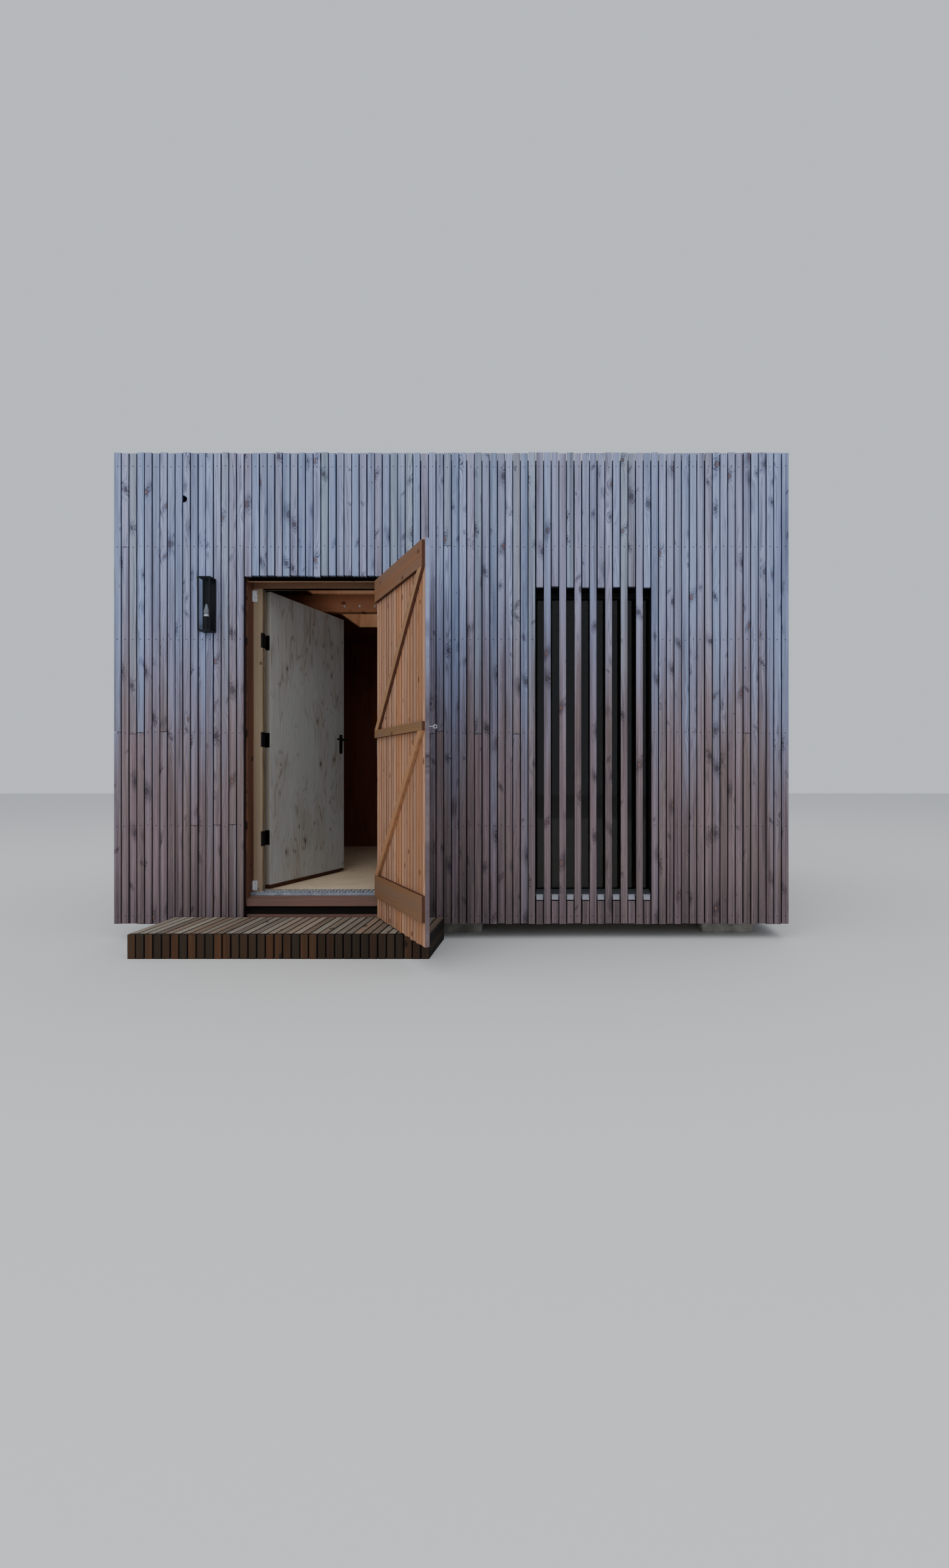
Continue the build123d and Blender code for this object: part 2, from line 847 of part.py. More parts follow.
def build():
    """Every sub-part by its name."""
    parts = {
        "foundation_pads": make_foundation_pads(),
        "floor_rim": make_floor_rim(),
        "floor_joists": make_floor_joists(),
        "floor": make_floor(),
        "side_walls": make_side_walls(),
        "back_wall": make_back_wall(),
        "wall_lining": make_wall_lining(),
        "parapet_cap": make_parapet_cap(),
        "ceiling": make_ceiling(),
        "roof_slab": make_roof_slab(),
        "roof_light_wells": make_roof_light_wells(),
        "roof_glass": make_roof_glass(),
        "roof_beam": make_roof_beam(),
        "counter_battens": make_counter_battens(),
        "window_slats": make_window_slats(),
        "window_cut_battens": make_window_cut_battens(),
        "side_cladding": make_side_cladding(),
        "back_cladding": make_back_cladding(),
        "window_frame": make_window_frame(),
        "window_glass": make_window_glass(),
        "window_sill": make_window_sill(),
        "door_lining": make_door_lining(),
        "door_frame": make_door_frame(),
        "door_stop": make_door_stop(),
        "door_sill": make_door_sill(),
        "threshold_plate": make_threshold_plate(),
        "foot_rail": make_foot_rail(),
        "jamb_brackets": make_jamb_brackets(),
        "outer_door_boards": make_outer_boards(),
        "outer_door_ledges": make_outer_ledges(),
        "outer_door_braces": make_outer_braces(),
        "outer_door_eye": make_outer_eye(),
        "inner_door_leaf": make_inner_leaf(),
        "lock_plates": make_lock_plates(),
        "lever_handles": make_lever_handles(),
        "step_skirt": make_step_skirt(),
        "step_bearers": make_step_bearers(),
        "step_deck": make_step_deck(),
        "lantern_case": make_lantern_case(),
        "lantern_glass": make_lantern_glass(),
        "lantern_holder": make_lamp_holder(),
        "lantern_bulb": make_lamp_bulb(),
    }
    names = ("front_wall_left", "front_wall_over_door", "front_wall_right")
    parts.update(zip(names, make_front_walls()))
    names = ("cladding_left", "cladding_over_door", "cladding_middle", "cladding_right")
    parts.update(zip(names, make_front_claddings()))

    fixed, moving = butt_hinge(outer_door_clearance, batten_depth, -1)
    levels = outer_hinge_levels()
    parts["outer_jamb_hinges"] = place_hinges(fixed, outer_pivot, 0, levels)
    parts["outer_leaf_hinges"] = place_hinges(moving, outer_pivot, outer_door_angle, levels)
    # The inner door's hinges are the same pattern turned half round, with pins on the room side
    fixed, moving = butt_hinge(inner_hinge_clearance, inner_hinge_leaf_width, -1)
    levels = inner_hinge_levels()
    turn = 180 + inner_door_angle
    parts["inner_jamb_hinges"] = place_hinges(fixed, inner_pivot, 180, levels)
    parts["inner_leaf_hinges"] = place_hinges(moving, inner_pivot, turn, levels)
    return parts


os.makedirs("parts", exist_ok=True)
for node, shape in build().items():
    export_step(shape, f"parts/{node}.step")
    print(node, round(shape.volume), len(shape.solids()))
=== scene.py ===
# Garden office pod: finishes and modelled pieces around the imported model, in metres
import json
import math
import random
from types import SimpleNamespace

import bpy
import numpy as np
from mathutils import Matrix, Vector


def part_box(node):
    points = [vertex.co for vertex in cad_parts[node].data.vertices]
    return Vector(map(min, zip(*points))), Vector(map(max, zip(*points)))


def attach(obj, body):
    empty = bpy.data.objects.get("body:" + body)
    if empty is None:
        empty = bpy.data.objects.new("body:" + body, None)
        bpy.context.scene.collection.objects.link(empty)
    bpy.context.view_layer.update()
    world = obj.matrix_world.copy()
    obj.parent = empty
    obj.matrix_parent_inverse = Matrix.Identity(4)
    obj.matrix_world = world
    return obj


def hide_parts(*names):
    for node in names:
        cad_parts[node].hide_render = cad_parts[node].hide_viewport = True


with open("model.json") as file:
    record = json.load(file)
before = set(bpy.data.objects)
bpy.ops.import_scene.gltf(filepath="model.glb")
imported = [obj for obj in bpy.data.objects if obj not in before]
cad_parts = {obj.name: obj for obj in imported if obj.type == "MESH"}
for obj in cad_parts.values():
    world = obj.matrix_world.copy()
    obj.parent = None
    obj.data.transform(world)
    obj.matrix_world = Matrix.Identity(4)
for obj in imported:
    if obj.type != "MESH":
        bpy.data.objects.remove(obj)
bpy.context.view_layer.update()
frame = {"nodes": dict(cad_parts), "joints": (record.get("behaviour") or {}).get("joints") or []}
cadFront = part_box("cladding_left")[0].y
chance = random.Random(31)
print("frame loaded:", len(frame["nodes"]), "nodes")

left, right, outward, inward, down, up = (
    Vector((-1, 0, 0)), Vector((1, 0, 0)), Vector((0, -1, 0)),
    Vector((0, 1, 0)), Vector((0, 0, -1)), Vector((0, 0, 1)),
)


# Handling objects, as by hand
def pickOnly(*pieces):
    bpy.ops.object.select_all(action="DESELECT")
    for piece in pieces:
        piece.select_set(True)
    bpy.context.view_layer.objects.active = pieces[0]


def inEditMode(piece, *steps):
    pickOnly(piece)
    bpy.ops.object.mode_set(mode="EDIT")
    bpy.ops.mesh.select_all(action="SELECT")
    for step in steps:
        step()
    bpy.ops.object.mode_set(mode="OBJECT")
    return piece


def applyModifier(piece, kind, **settings):
    modifier = piece.modifiers.new("shape", kind)
    for setting, value in settings.items():
        setattr(modifier, setting, value)
    pickOnly(piece)
    bpy.ops.object.modifier_apply(modifier=modifier.name)
    return piece


def easeEdges(piece, width, segments=2, angle=30):
    return applyModifier(
        piece, "BEVEL", width=width, segments=segments,
        limit_method="ANGLE", angle_limit=math.radians(angle),
    )


def addBox(low, high):
    size = [b - a for a, b in zip(low, high)]
    middle = [(a + b) / 2 for a, b in zip(low, high)]
    bpy.ops.object.select_all(action="DESELECT")
    bpy.ops.mesh.primitive_cube_add(size=1, location=middle, scale=size)
    bpy.ops.object.transform_apply()
    return bpy.context.active_object


def addRod(start, end, radius, sides):
    start, end = Vector(start), Vector(end)
    turn = (end - start).to_track_quat("Z", "Y").to_euler()
    bpy.ops.object.select_all(action="DESELECT")
    bpy.ops.mesh.primitive_cylinder_add(
        vertices=sides, radius=radius, depth=(end - start).length,
        location=(start + end) / 2, rotation=turn,
    )
    bpy.ops.object.transform_apply()
    return bpy.context.active_object


def cutAt(piece, point, normal, clear=True):
    return inEditMode(piece, lambda: bpy.ops.mesh.bisect(
        plane_co=point, plane_no=normal, use_fill=clear, clear_outer=clear,
    ))


def clipTo(piece, low, high):
    for axis in range(3):
        for limit, side in ((low[axis], -1), (high[axis], 1)):
            if limit is not None:
                point, normal = Vector(), Vector()
                point[axis], normal[axis] = limit, side
                cutAt(piece, point, normal)
    return piece


def copyMesh(mesh):
    piece = bpy.data.objects.new(mesh.name, mesh.copy())
    bpy.context.scene.collection.objects.link(piece)
    return piece


def copyNode(node):
    return inEditMode(
        copyMesh(frame["nodes"][node].data),
        bpy.ops.mesh.customdata_custom_splitnormals_clear,
        lambda: bpy.ops.mesh.remove_doubles(threshold=0.00002),
        lambda: bpy.ops.mesh.dissolve_limited(angle_limit=math.radians(0.5)),
        bpy.ops.mesh.faces_shade_flat,
    )


def joinPieces(pieces):
    if len(pieces) > 1:
        pickOnly(*pieces)
        bpy.ops.object.join()
    return pieces[0]


def readPlaces(mesh):
    places = np.zeros(len(mesh.vertices) * 3, np.float32)
    mesh.vertices.foreach_get("co", places)
    return places.reshape(-1, 3).astype(float)


def writeGrain(mesh, grain, tone):
    vectors = mesh.attributes.new("grain", "FLOAT_VECTOR", "POINT")
    vectors.data.foreach_set("vector", grain.astype(np.float32).ravel())
    numbers = mesh.attributes.new("tone", "FLOAT", "POINT")
    numbers.data.foreach_set("value", np.full(len(grain), tone, np.float32))


def boardAxes(facing, along):  # across, inwards from the face that shows, and along
    through, along = -Vector(facing), Vector(along)
    return np.array([through.cross(along), through, along])


def grainAlong(piece, facing, along):
    grain = readPlaces(piece.data) @ boardAxes(facing, along).T
    writeGrain(piece.data, grain - grain.min(0), chance.random())
    return piece


def smoothed(piece, angle=35):
    pickOnly(piece)
    bpy.ops.object.shade_smooth_by_angle(angle=math.radians(angle))
    return piece


def carve(piece, tool):
    applyModifier(piece, "BOOLEAN", operation="DIFFERENCE", solver="EXACT", object=tool)
    bpy.data.objects.remove(tool)
    return piece


def settle(piece, name, slot, finish, *nodes, body="pod"):
    piece.name = piece.data.name = name
    piece.data.materials.clear()
    piece.data.materials.append(finishes[finish])
    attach(piece, body)
    if nodes:
        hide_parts(*nodes)


def jointOf(name):
    return next(joint for joint in frame["joints"] if joint["name"] == name)


# Shader maths written as sums
def paint(code):
    parts = (int(code[i:i + 2], 16) / 255 for i in (0, 2, 4))
    return tuple(p / 12.92 if p <= 0.04045 else ((p + 0.055) / 1.055) ** 2.4 for p in parts) + (1.0,)


def operator(operation, reflected=False):
    def apply(wire, other):
        pair = (other, wire) if reflected else (wire, other)
        return wire.finish.sum(operation, *pair)
    return apply


class Wire:  # a socket that can be added, multiplied and so on
    def __init__(self, finish, socket):
        self.finish = finish
        self.socket = socket

    def out(self, name):
        return Wire(self.finish, self.socket.node.outputs[name])

    __add__ = __radd__ = operator("ADD")
    __mul__ = __rmul__ = operator("MULTIPLY")
    __sub__ = operator("SUBTRACT")
    __rsub__ = operator("SUBTRACT", reflected=True)
    __truediv__ = operator("DIVIDE")
    __rtruediv__ = operator("DIVIDE", reflected=True)
    __pow__ = operator("POWER")


class Finish:  # one material and the ways its nodes are made
    def __init__(self, name, constants):
        self.material = bpy.data.materials.new(name)
        self.material.use_nodes = True
        self.tree = self.material.node_tree
        self.surface = self.tree.nodes["Principled BSDF"]
        for socket, value in constants.items():
            self.surface.inputs[socket].default_value = value

    def node(self, kind, settings, inputs, output=0):
        made = self.tree.nodes.new("ShaderNode" + kind)
        for setting, value in settings.items():
            setattr(made, setting, value)
        for name, value in inputs.items():
            if isinstance(value, Wire):
                self.tree.links.new(value.socket, made.inputs[name])
            else:
                made.inputs[name].default_value = value
        return Wire(self, made.outputs[output])

    def sum(self, operation, first, second=0.0):
        return self.node("Math", {"operation": operation}, {0: first, 1: second})

    def vector(self, operation, *values, output=0):
        return self.node("VectorMath", {"operation": operation}, dict(enumerate(values)), output)

    def noise(self, place, scale, detail=2.0, rough=0.5, output=0):  # one scale, or one for each axis
        if isinstance(scale, tuple):
            place, scale = self.vector("MULTIPLY", place, scale), 1.0
        inputs = {"Vector": place, "Scale": scale, "Detail": detail, "Roughness": rough}
        return self.node("TexNoise", {}, inputs, output)

    def fade(self, value, start, end, low=0.0, high=1.0):
        inputs = {"Value": value, "From Min": start, "From Max": end, "To Min": low, "To Max": high}
        return self.node("MapRange", {"interpolation_type": "SMOOTHSTEP"}, inputs)

    def blend(self, share, first, second):
        settings = {"data_type": "RGBA", "clamp_factor": True}
        return self.node("Mix", settings, {0: share, 6: first, 7: second}, 2)

    def coat(self, share, colour, code):
        return self.blend(share, colour, paint(code))

    def shade(self, colour, amount):
        return self.node("VectorMath", {"operation": "SCALE"}, {0: colour, "Scale": amount})

    def place(self):
        return self.node("TexCoord", {}, {}, "Object")

    def split(self, place):
        x = self.node("SeparateXYZ", {}, {0: place})
        return x, x.out("Y"), x.out("Z")

    def surfaceFrom(self, colour=None, roughness=None, height=None, depth=0.001, strength=0.5):
        links = {"Base Color": colour, "Roughness": roughness}
        if height is not None:
            inputs = {"Height": height, "Distance": depth, "Strength": strength}
            links["Normal"] = self.node("Bump", {}, inputs)
        for socket, wire in links.items():
            if wire is not None:
                self.tree.links.new(wire.socket, self.surface.inputs[socket])
        return self.material


# Sawn and planed timber, with growth rings that flow round knots
figureShape = dict(  # the shift has each board cut from another place
    shift=(41.0, 17.0, 67.0), drawScale=731.0, squash=0.7, wobbleScale=90.0, wobble=0.008,
    leastRadius=0.0002, smudgeAcross=0.36, smudgeAlong=0.26,
    streaks=(130.0, 130.0, 1.0), fibres=(800.0, 800.0, 16.0),
    mottle=(16.0, 16.0, 1.1), patches=(18.0, 18.0, 0.8),
)


def timberFigure(finish, look):
    grain = finish.node("Attribute", {"attribute_name": "grain"}, {}, "Vector")
    tone = finish.node("Attribute", {"attribute_name": "tone"}, {}, "Fac")
    place = finish.vector("MULTIPLY_ADD", tone, figureShape["shift"], grain)
    x, _, z = finish.split(place)
    inputs = {"W": tone * figureShape["drawScale"]}
    draws = finish.node("TexWhiteNoise", {"noise_dimensions": "1D"}, inputs, "Color")

    wide, long = look["knotAcross"], look["knotAlong"]
    inCells = finish.node("CombineXYZ", {}, {0: x / wide, 1: z / long})
    inputs = {"Vector": inCells, "Scale": 1.0}
    nearest = finish.node("TexVoronoi", {"voronoi_dimensions": "2D"}, inputs, "Position")
    apart = finish.vector("SUBTRACT", inCells, nearest)
    apart = finish.vector("MULTIPLY", apart, (wide, long * figureShape["squash"], 0.0))
    wobble = finish.noise(place, figureShape["wobbleScale"], detail=1.0, output="Color")
    apart = finish.vector("ADD", apart, finish.shade(wobble, figureShape["wobble"]))
    size, darkness, _ = finish.split(nearest.out("Color"))
    radius = (size - look["knotRarity"]) * look["knotSize"]
    radius = finish.sum("MAXIMUM", radius, figureShape["leastRadius"])
    ratio = finish.vector("LENGTH", apart, output="Value") / radius
    knot = finish.fade(ratio, 1.1, 0.85)
    rim = finish.fade(finish.sum("ABSOLUTE", ratio - 1.05), 0.3, 0.0)
    bend = 1.0 / (ratio * ratio * 0.3 + 1.0)
    across, along, _ = finish.split(apart)
    leaning = (across + along * (darkness - 0.5) * 2.0) * figureShape["smudgeAcross"]
    leaning = finish.node("CombineXYZ", {}, {0: leaning, 1: along * figureShape["smudgeAlong"]})
    leaning = finish.vector("LENGTH", leaning, output="Value")
    smudge = finish.fade(leaning / radius, 1.5, 0.3)

    flow = finish.noise(place, (look["flowAcross"], look["flowAcross"], look["flowAlong"]))
    rings = x / look["ringPitch"] + flow * look["flow"] + bend * 4.0 + knot * ratio * 2.0
    line = (finish.sum("SINE", rings * (2 * math.pi)) * 0.5 + 0.5) ** look["ringSharpness"]
    streak = finish.noise(place, figureShape["streaks"], detail=3.0, rough=0.6)
    fibre = finish.noise(place, figureShape["fibres"], rough=0.7)
    return SimpleNamespace(
        grain=grain, place=place, draws=draws, knot=knot, rim=rim,
        smudge=smudge, darkness=darkness, line=line, streak=streak, fibre=fibre,
    )


def plainTimber(name, look):
    finish = Finish(name, {"Specular IOR Level": 0.3})
    figure = timberFigure(finish, look)
    first, second, _ = finish.split(figure.draws)
    across, through, _ = finish.split(figure.grain)
    colour = finish.blend(finish.fade(first, 0.25, 0.95), paint(look["pale"]), paint(look["warm"]))
    mottle = finish.noise(figure.place, figureShape["mottle"])
    colour = finish.coat(finish.fade(mottle, 0.35, 0.7) * 0.6, colour, look["mottle"])
    colour = finish.coat(figure.line * look["ringDepth"], colour, look["ring"])
    colour = finish.coat(figure.knot * 0.75, colour, look["knot"])
    colour = finish.coat(figure.rim * 0.6, colour, look["ring"])
    light = 1.0 + (second - 0.5) * look["spread"] + (figure.streak - 0.5) * look["streak"]
    colour = finish.shade(colour, light + (figure.fibre - 0.5) * look["fibre"])
    if "paintedShade" in look:  # painted shade on the sides, which face away from the light
        colour = finish.coat(finish.fade(through, 0.001, 0.004) * 0.85, colour, look["paintedShade"])
    if "edge" in look:  # painted shade along the gaps: the board edges and sides darken
        edge = finish.fade(finish.sum("ABSOLUTE", across), 0.0175, 0.0215) * 0.8
        edge = finish.sum("MAXIMUM", edge, finish.fade(through, 0.001, 0.005))
        colour = finish.coat(edge, colour, look["edge"])
    roughness = figure.fibre * 0.2 + look["roughness"]
    height = figure.fibre * 0.4 + figure.line * 0.4 + figure.knot * 0.5
    return finish.surfaceFrom(colour, roughness, height, depth=look["relief"])


def weatheredLarch(name, look, inside=None):
    finish = Finish(name, {"Specular IOR Level": 0.2})
    figure = timberFigure(finish, look)
    first, second, third = finish.split(figure.draws)
    across, through, _ = finish.split(figure.grain)
    _, _, heightUp = finish.split(finish.place())
    # from foot to head the boards turn cooler and lighter: partly weathering, partly painted skylight
    rise = finish.fade(heightUp, look["foot"], look["head"])
    cool = finish.blend(first, paint(look["silver"]), paint(look["lavender"]))
    cool = finish.coat(finish.fade(third, 0.72, 0.9) * 0.6, cool, look["sage"])
    warm = finish.blend(second, paint(look["rose"]), paint(look["umber"]))
    patch = finish.noise(figure.place, figureShape["patches"])
    warmth = first * 0.45 + patch * 0.9 - rise * 0.95 + 0.42
    colour = finish.blend(finish.fade(warmth, 0.1, 1.0), cool, warm)
    # lighter towards the top: partly weathering, partly painted skylight
    light = rise * look["weatherAndSkyLight"] + look["base"]
    light = light * finish.fade(heightUp, *look["paintedFootShade"])  # painted shade: darker towards the ground
    swirl = figure.smudge * (figure.line * 0.6 + 0.4)
    light = light * ((second - 0.5) * look["spread"] + 1.0) * (1.0 - swirl * look["smudge"])
    light = light * (1.0 - finish.fade(patch, 0.42, 0.72) * look["stain"])
    light = light + (figure.streak - 0.5) * look["streak"]
    light = light + (figure.fibre - 0.5) * look["fibre"]
    colour = finish.shade(colour, light)
    dark = finish.fade(figure.darkness, 0.25, 0.45)
    heart = finish.blend(dark, paint(look["heart"]), paint(look["knot"]))
    colour = finish.blend(figure.knot * 0.6, colour, heart)
    colour = finish.coat(figure.rim * 0.5, colour, look["rim"])
    bold = finish.fade(second, 0.15, 0.9, 0.3, 1.0)  # some boards were cut flat through the rings
    bold = finish.sum("MAXIMUM", bold, figure.smudge)
    colour = finish.coat(figure.line * bold * look["ringDepth"], colour, look["ring"])
    # painted shade of the gaps, bluer towards the top: it widens the dark line along each edge and covers
    # the sides of the boards
    gap = finish.blend(rise, paint(look["gapShadeLow"]), paint(look["gapShadeHigh"]))
    fromMiddle = finish.sum("ABSOLUTE", across)
    edge = finish.fade(fromMiddle, *look["edgeShadeFrom"])
    colour = finish.blend(edge * look["edge"], colour, gap)
    # painted shade on the board sides
    sides = finish.fade(through, *look["sideShadeDepth"]) * finish.fade(fromMiddle, *look["sideShadeFrom"])
    colour = finish.blend(sides * 0.92, colour, gap)
    # upward-facing bevels low down turn lighter: weathered end grain, with painted skylight
    _, _, upward = finish.split(finish.node("NewGeometry", {}, {}, "Normal"))
    bevels = finish.fade(upward, 0.3, 0.7) * finish.fade(heightUp, *look["bevelTop"])
    colour = finish.coat(bevels * 0.65, colour, look["bleachedAndSkylit"])
    if inside is not None:  # the face turned to the room kept its colour
        fresh = finish.blend(first, paint(inside["pale"]), paint(inside["warm"]))
        fresh = finish.coat(figure.line * inside["ringDepth"], fresh, inside["ring"])
        fresh = finish.coat(figure.knot * 0.7, fresh, inside["knot"])
        light = (figure.streak - 0.5) * inside["streak"] + (second - 0.5) * inside["spread"]
        fresh = finish.shade(fresh, 1.0 + light)
        # painted shade along the edges of the face turned to the room
        fresh = finish.coat(edge * 0.75, fresh, inside["paintedShade"])
        colour = finish.blend(finish.fade(through, *look["backFrom"]), colour, fresh)
    roughness = figure.fibre * 0.2 + 0.7
    height = figure.fibre * 0.4 + figure.line * 0.6 + figure.knot * 0.6
    return finish.surfaceFrom(colour, roughness, height, depth=look["relief"], strength=0.6)


boardFigure = dict(
    knotAcross=0.075, knotAlong=0.42, knotRarity=0.5, knotSize=0.034,
    ringPitch=0.0052, ringSharpness=2.2, flow=9.0, flowAcross=8.0, flowAlong=0.95,
    ringDepth=0.45, spread=0.2, streak=0.5, fibre=0.3, relief=0.001,
)
larchLook = dict(
    boardFigure, knotAlong=0.36, knotRarity=0.34, knotSize=0.021,
    ringPitch=0.0105, ringDepth=0.52, flow=11.0, flowAcross=17.0, flowAlong=0.8,
    silver="8c9bc0", lavender="979ab9", sage="8f9aa2", rose="9b878c", umber="7b6c69",
    ring="4a444f", heart="7d5a50", rim="3a2d33", knot="3c363c", gapShadeLow="22161a",
    gapShadeHigh="151a30", bleachedAndSkylit="a9afbc", foot=0.2, head=2.9, weatherAndSkyLight=0.3, base=0.7,
    paintedFootShade=(0.1, 0.55, 0.8, 1.0), smudge=0.7, stain=0.32, spread=0.4, streak=1.2,
    fibre=0.55, relief=0.0012, edge=0.7, edgeShadeFrom=(0.0190, 0.0222),
    sideShadeDepth=(0.0006, 0.005), sideShadeFrom=(0.0200, 0.0216), backFrom=(0.0225, 0.0245),
    bevelTop=(0.42, 0.5, 1.0, 0.0),
)
freshLook = dict(
    boardFigure,
    pale="b8937a", warm="a0704e", mottle="8c6850", ring="6b422c", knot="47281a",
    paintedShade="5e3524", spread=0.5, streak=0.6, fibre=0.22, roughness=0.62, relief=0.0006,
)
ledgeLook = dict(
    freshLook, ringPitch=0.009, flow=12.0,
    pale="80603f", warm="7a4f35", mottle="705d4c", ring="4e3323", paintedShade="3c1c15",
    ringDepth=0.35, spread=0.2, streak=0.5,
)
braceLook = dict(
    freshLook, ringDepth=0.25,
    pale="b08763", warm="a07350", mottle="906c50", paintedShade="46211a",
)
frameLook = dict(
    boardFigure, knotSize=0.012, knotRarity=0.25, knotAlong=0.25, ringPitch=0.0045,
    pale="948874", warm="8a7862", mottle="7d6b57", ring="5a4b3d", knot="3a2a1e",
    flow=6.0, spread=0.1, fibre=0.25, roughness=0.55, relief=0.0003,
)
# the head members: the frame's timber, darker and browner as painted shade
shadedHeadLook = dict(frameLook, pale="7b5b44", warm="6e4e3a", mottle="624633", ring="49301f")
liningLook = dict(
    boardFigure,
    pale="7a5443", warm="694535", mottle="563a2f", ring="3c251c", knot="24140f",
    spread=0.15, fibre=0.25, roughness=0.55, relief=0.0005,
)
sillLook = dict(
    boardFigure, knotSize=0.008,
    pale="75594d", warm="66493f", mottle="554542", ring="36262a", knot="24160f",
    ringDepth=0.5, streak=0.6, roughness=0.65, relief=0.0008,
)
beamLook = dict(
    boardFigure, ringPitch=0.007,
    pale="c89474", warm="b37c5c", mottle="9c6c50", ring="6e4430", knot="402417",
    ringDepth=0.4, spread=0.1, streak=0.35, fibre=0.15, roughness=0.5, relief=0.0004,
)
deckLook = dict(
    boardFigure,
    pale="989082", warm="8c7562", mottle="6f685c", ring="46403a", knot="2c2420",
    edge="1a1511", ringDepth=0.5, spread=0.6, streak=0.9, fibre=0.4,
    roughness=0.7, relief=0.0012,
)
skirtLook = dict(
    deckLook, edge="0b0807", fibre=0.35, roughness=0.75, relief=0.001,
    pale="30261b", warm="553620", mottle="2a2218", ring="1c1510", knot="120c09",
)
baseLook = dict(
    boardFigure, ringDepth=0.4, streak=0.4, roughness=0.85,
    pale="15110e", warm="110d0b", mottle="0d0a09", ring="080605", knot="050404",
)
rawLook = dict(
    boardFigure, ringDepth=0.4, spread=0.25, roughness=0.8,
    pale="3a2f26", warm="30261f", mottle="261e19", ring="1c1511", knot="120d0a",
)
finishes = {
    "larch": weatheredLarch("weathered_larch", larchLook),
    "doorLarch": weatheredLarch("door_larch", larchLook, freshLook),
}
for key, name, look in (
    ("ledge", "ledge_timber", ledgeLook), ("brace", "brace_timber", braceLook),
    ("frame", "frame_timber", frameLook), ("head", "head_timber_painted_shade", shadedHeadLook),
    ("lining", "reveal_timber", liningLook), ("sill", "sill_timber", sillLook),
    ("beam", "beam_timber", beamLook), ("deck", "deck_timber", deckLook),
    ("skirt", "step_front_timber", skirtLook), ("raw", "treated_timber", rawLook),
    ("base", "base_timber", baseLook),
):
    finishes[key] = plainTimber(name, look)
print("timber finishes made")


# Plywood: peeled veneer, so the rings show as broad flames and loops
plyShape = dict(
    flow=(4.6, 4.6, 0.62), waver=(34.0, 34.0, 1.4), patches=(6.0, 6.0, 1.5), squash=0.5,
    fibres=(420.0, 420.0, 9.0), streaks=(60.0, 60.0, 1.0), leastKnot=0.006, knotGrowth=0.055,
)


def plywood(name, look, layers=False):
    finish = Finish(name, {"Specular IOR Level": 0.35})
    place = finish.place()
    if layers:
        place = finish.node("Attribute", {"attribute_name": "grain"}, {}, "Vector")
    flow = finish.noise(place, plyShape["flow"], detail=3.0)
    loops = flow * look["loops"] + finish.noise(place, plyShape["waver"]) * 0.6
    line = (finish.sum("SINE", loops * (2 * math.pi)) * 0.5 + 0.5) ** look["sharpness"]
    patch = finish.fade(finish.noise(place, plyShape["patches"]), 0.42, 0.66)
    scale, settings = look["knots"], {}
    spots = finish.vector("MULTIPLY", place, (scale, scale, scale * plyShape["squash"]))
    if layers:
        x, _, z = finish.split(spots)
        spots, settings = finish.node("CombineXYZ", {}, {0: x, 1: z}), {"voronoi_dimensions": "2D"}
    knots = finish.node("TexVoronoi", settings, {"Vector": spots, "Scale": 1.0}, "Distance")
    size, _, _ = finish.split(knots.out("Color"))
    knots = knots / (size * size * plyShape["knotGrowth"] + plyShape["leastKnot"])
    fibre = finish.noise(place, plyShape["fibres"])
    streak = finish.noise(place, plyShape["streaks"])
    colour = finish.blend(patch * 0.45, paint(look["pale"]), paint(look["patch"]))
    colour = finish.coat(line * (patch * 0.75 + 0.25) * look["lineDepth"], colour, look["line"])
    colour = finish.coat(finish.fade(knots, 3.2, 0.8) * 0.35, colour, look["line"])
    colour = finish.coat(finish.fade(knots, 1.0, 0.6) * 0.75, colour, look["knot"])
    colour = finish.shade(colour, 1.0 + (fibre - 0.5) * 0.2 + (streak - 0.5) * 0.22)
    if layers:  # the leaf's core shows on its edges, and its lowest 22 mm is dark reddish brown
        _, through, along = finish.split(place)
        core = finish.fade(through, *look["frontCore"]) * finish.fade(through, *look["backCore"])
        colour = finish.coat(core, colour, look["core"])
        colour = finish.coat(finish.fade(along, *look["footTop"]), colour, look["foot"])
    roughness = fibre * 0.15 + look["roughness"]
    return finish.surfaceFrom(colour, roughness, fibre * 0.5 + line * 0.3, depth=0.0003)


# Sheet and cast materials
def mottled(name, look):
    finish = Finish(name, {"Metallic": look["metallic"], "Specular IOR Level": look["gloss"]})
    place = finish.place()
    cloud = finish.noise(place, look["cloud"], detail=4.0, rough=0.6)
    grit = finish.noise(place, look["grit"], rough=0.7)
    colour = finish.blend(finish.fade(cloud, 0.3, 0.7), paint(look["dark"]), paint(look["light"]))
    colour = finish.shade(colour, 1.0 + (grit - 0.5) * look["speckle"])
    if "seam" in look:  # sheets lap at a regular spacing
        along = finish.sum("FRACT", finish.split(place)[0] / look["seamPitch"])
        seam = 0.5 - look["seamWidth"] / look["seamPitch"]
        seam = finish.fade(finish.sum("ABSOLUTE", along - 0.5), seam, 0.5)
        colour = finish.coat(seam * 0.7, colour, look["seam"])
    roughness = cloud * look["roughSpread"] + look["roughness"]
    return finish.surfaceFrom(colour, roughness, grit * 0.6 + cloud * 0.4, depth=look["relief"])


def glazing(name, look):
    finish = Finish(name, {"Base Color": paint(look["tint"]), "IOR": 1.5, "Specular IOR Level": 0.4})
    smear = finish.noise(finish.place(), 6.0, detail=3.0)
    alpha = smear * look["smear"] + look["alpha"]
    finish.tree.links.new(alpha.socket, finish.surface.inputs["Alpha"])
    return finish.surfaceFrom(roughness=smear * 0.02 + 0.005)


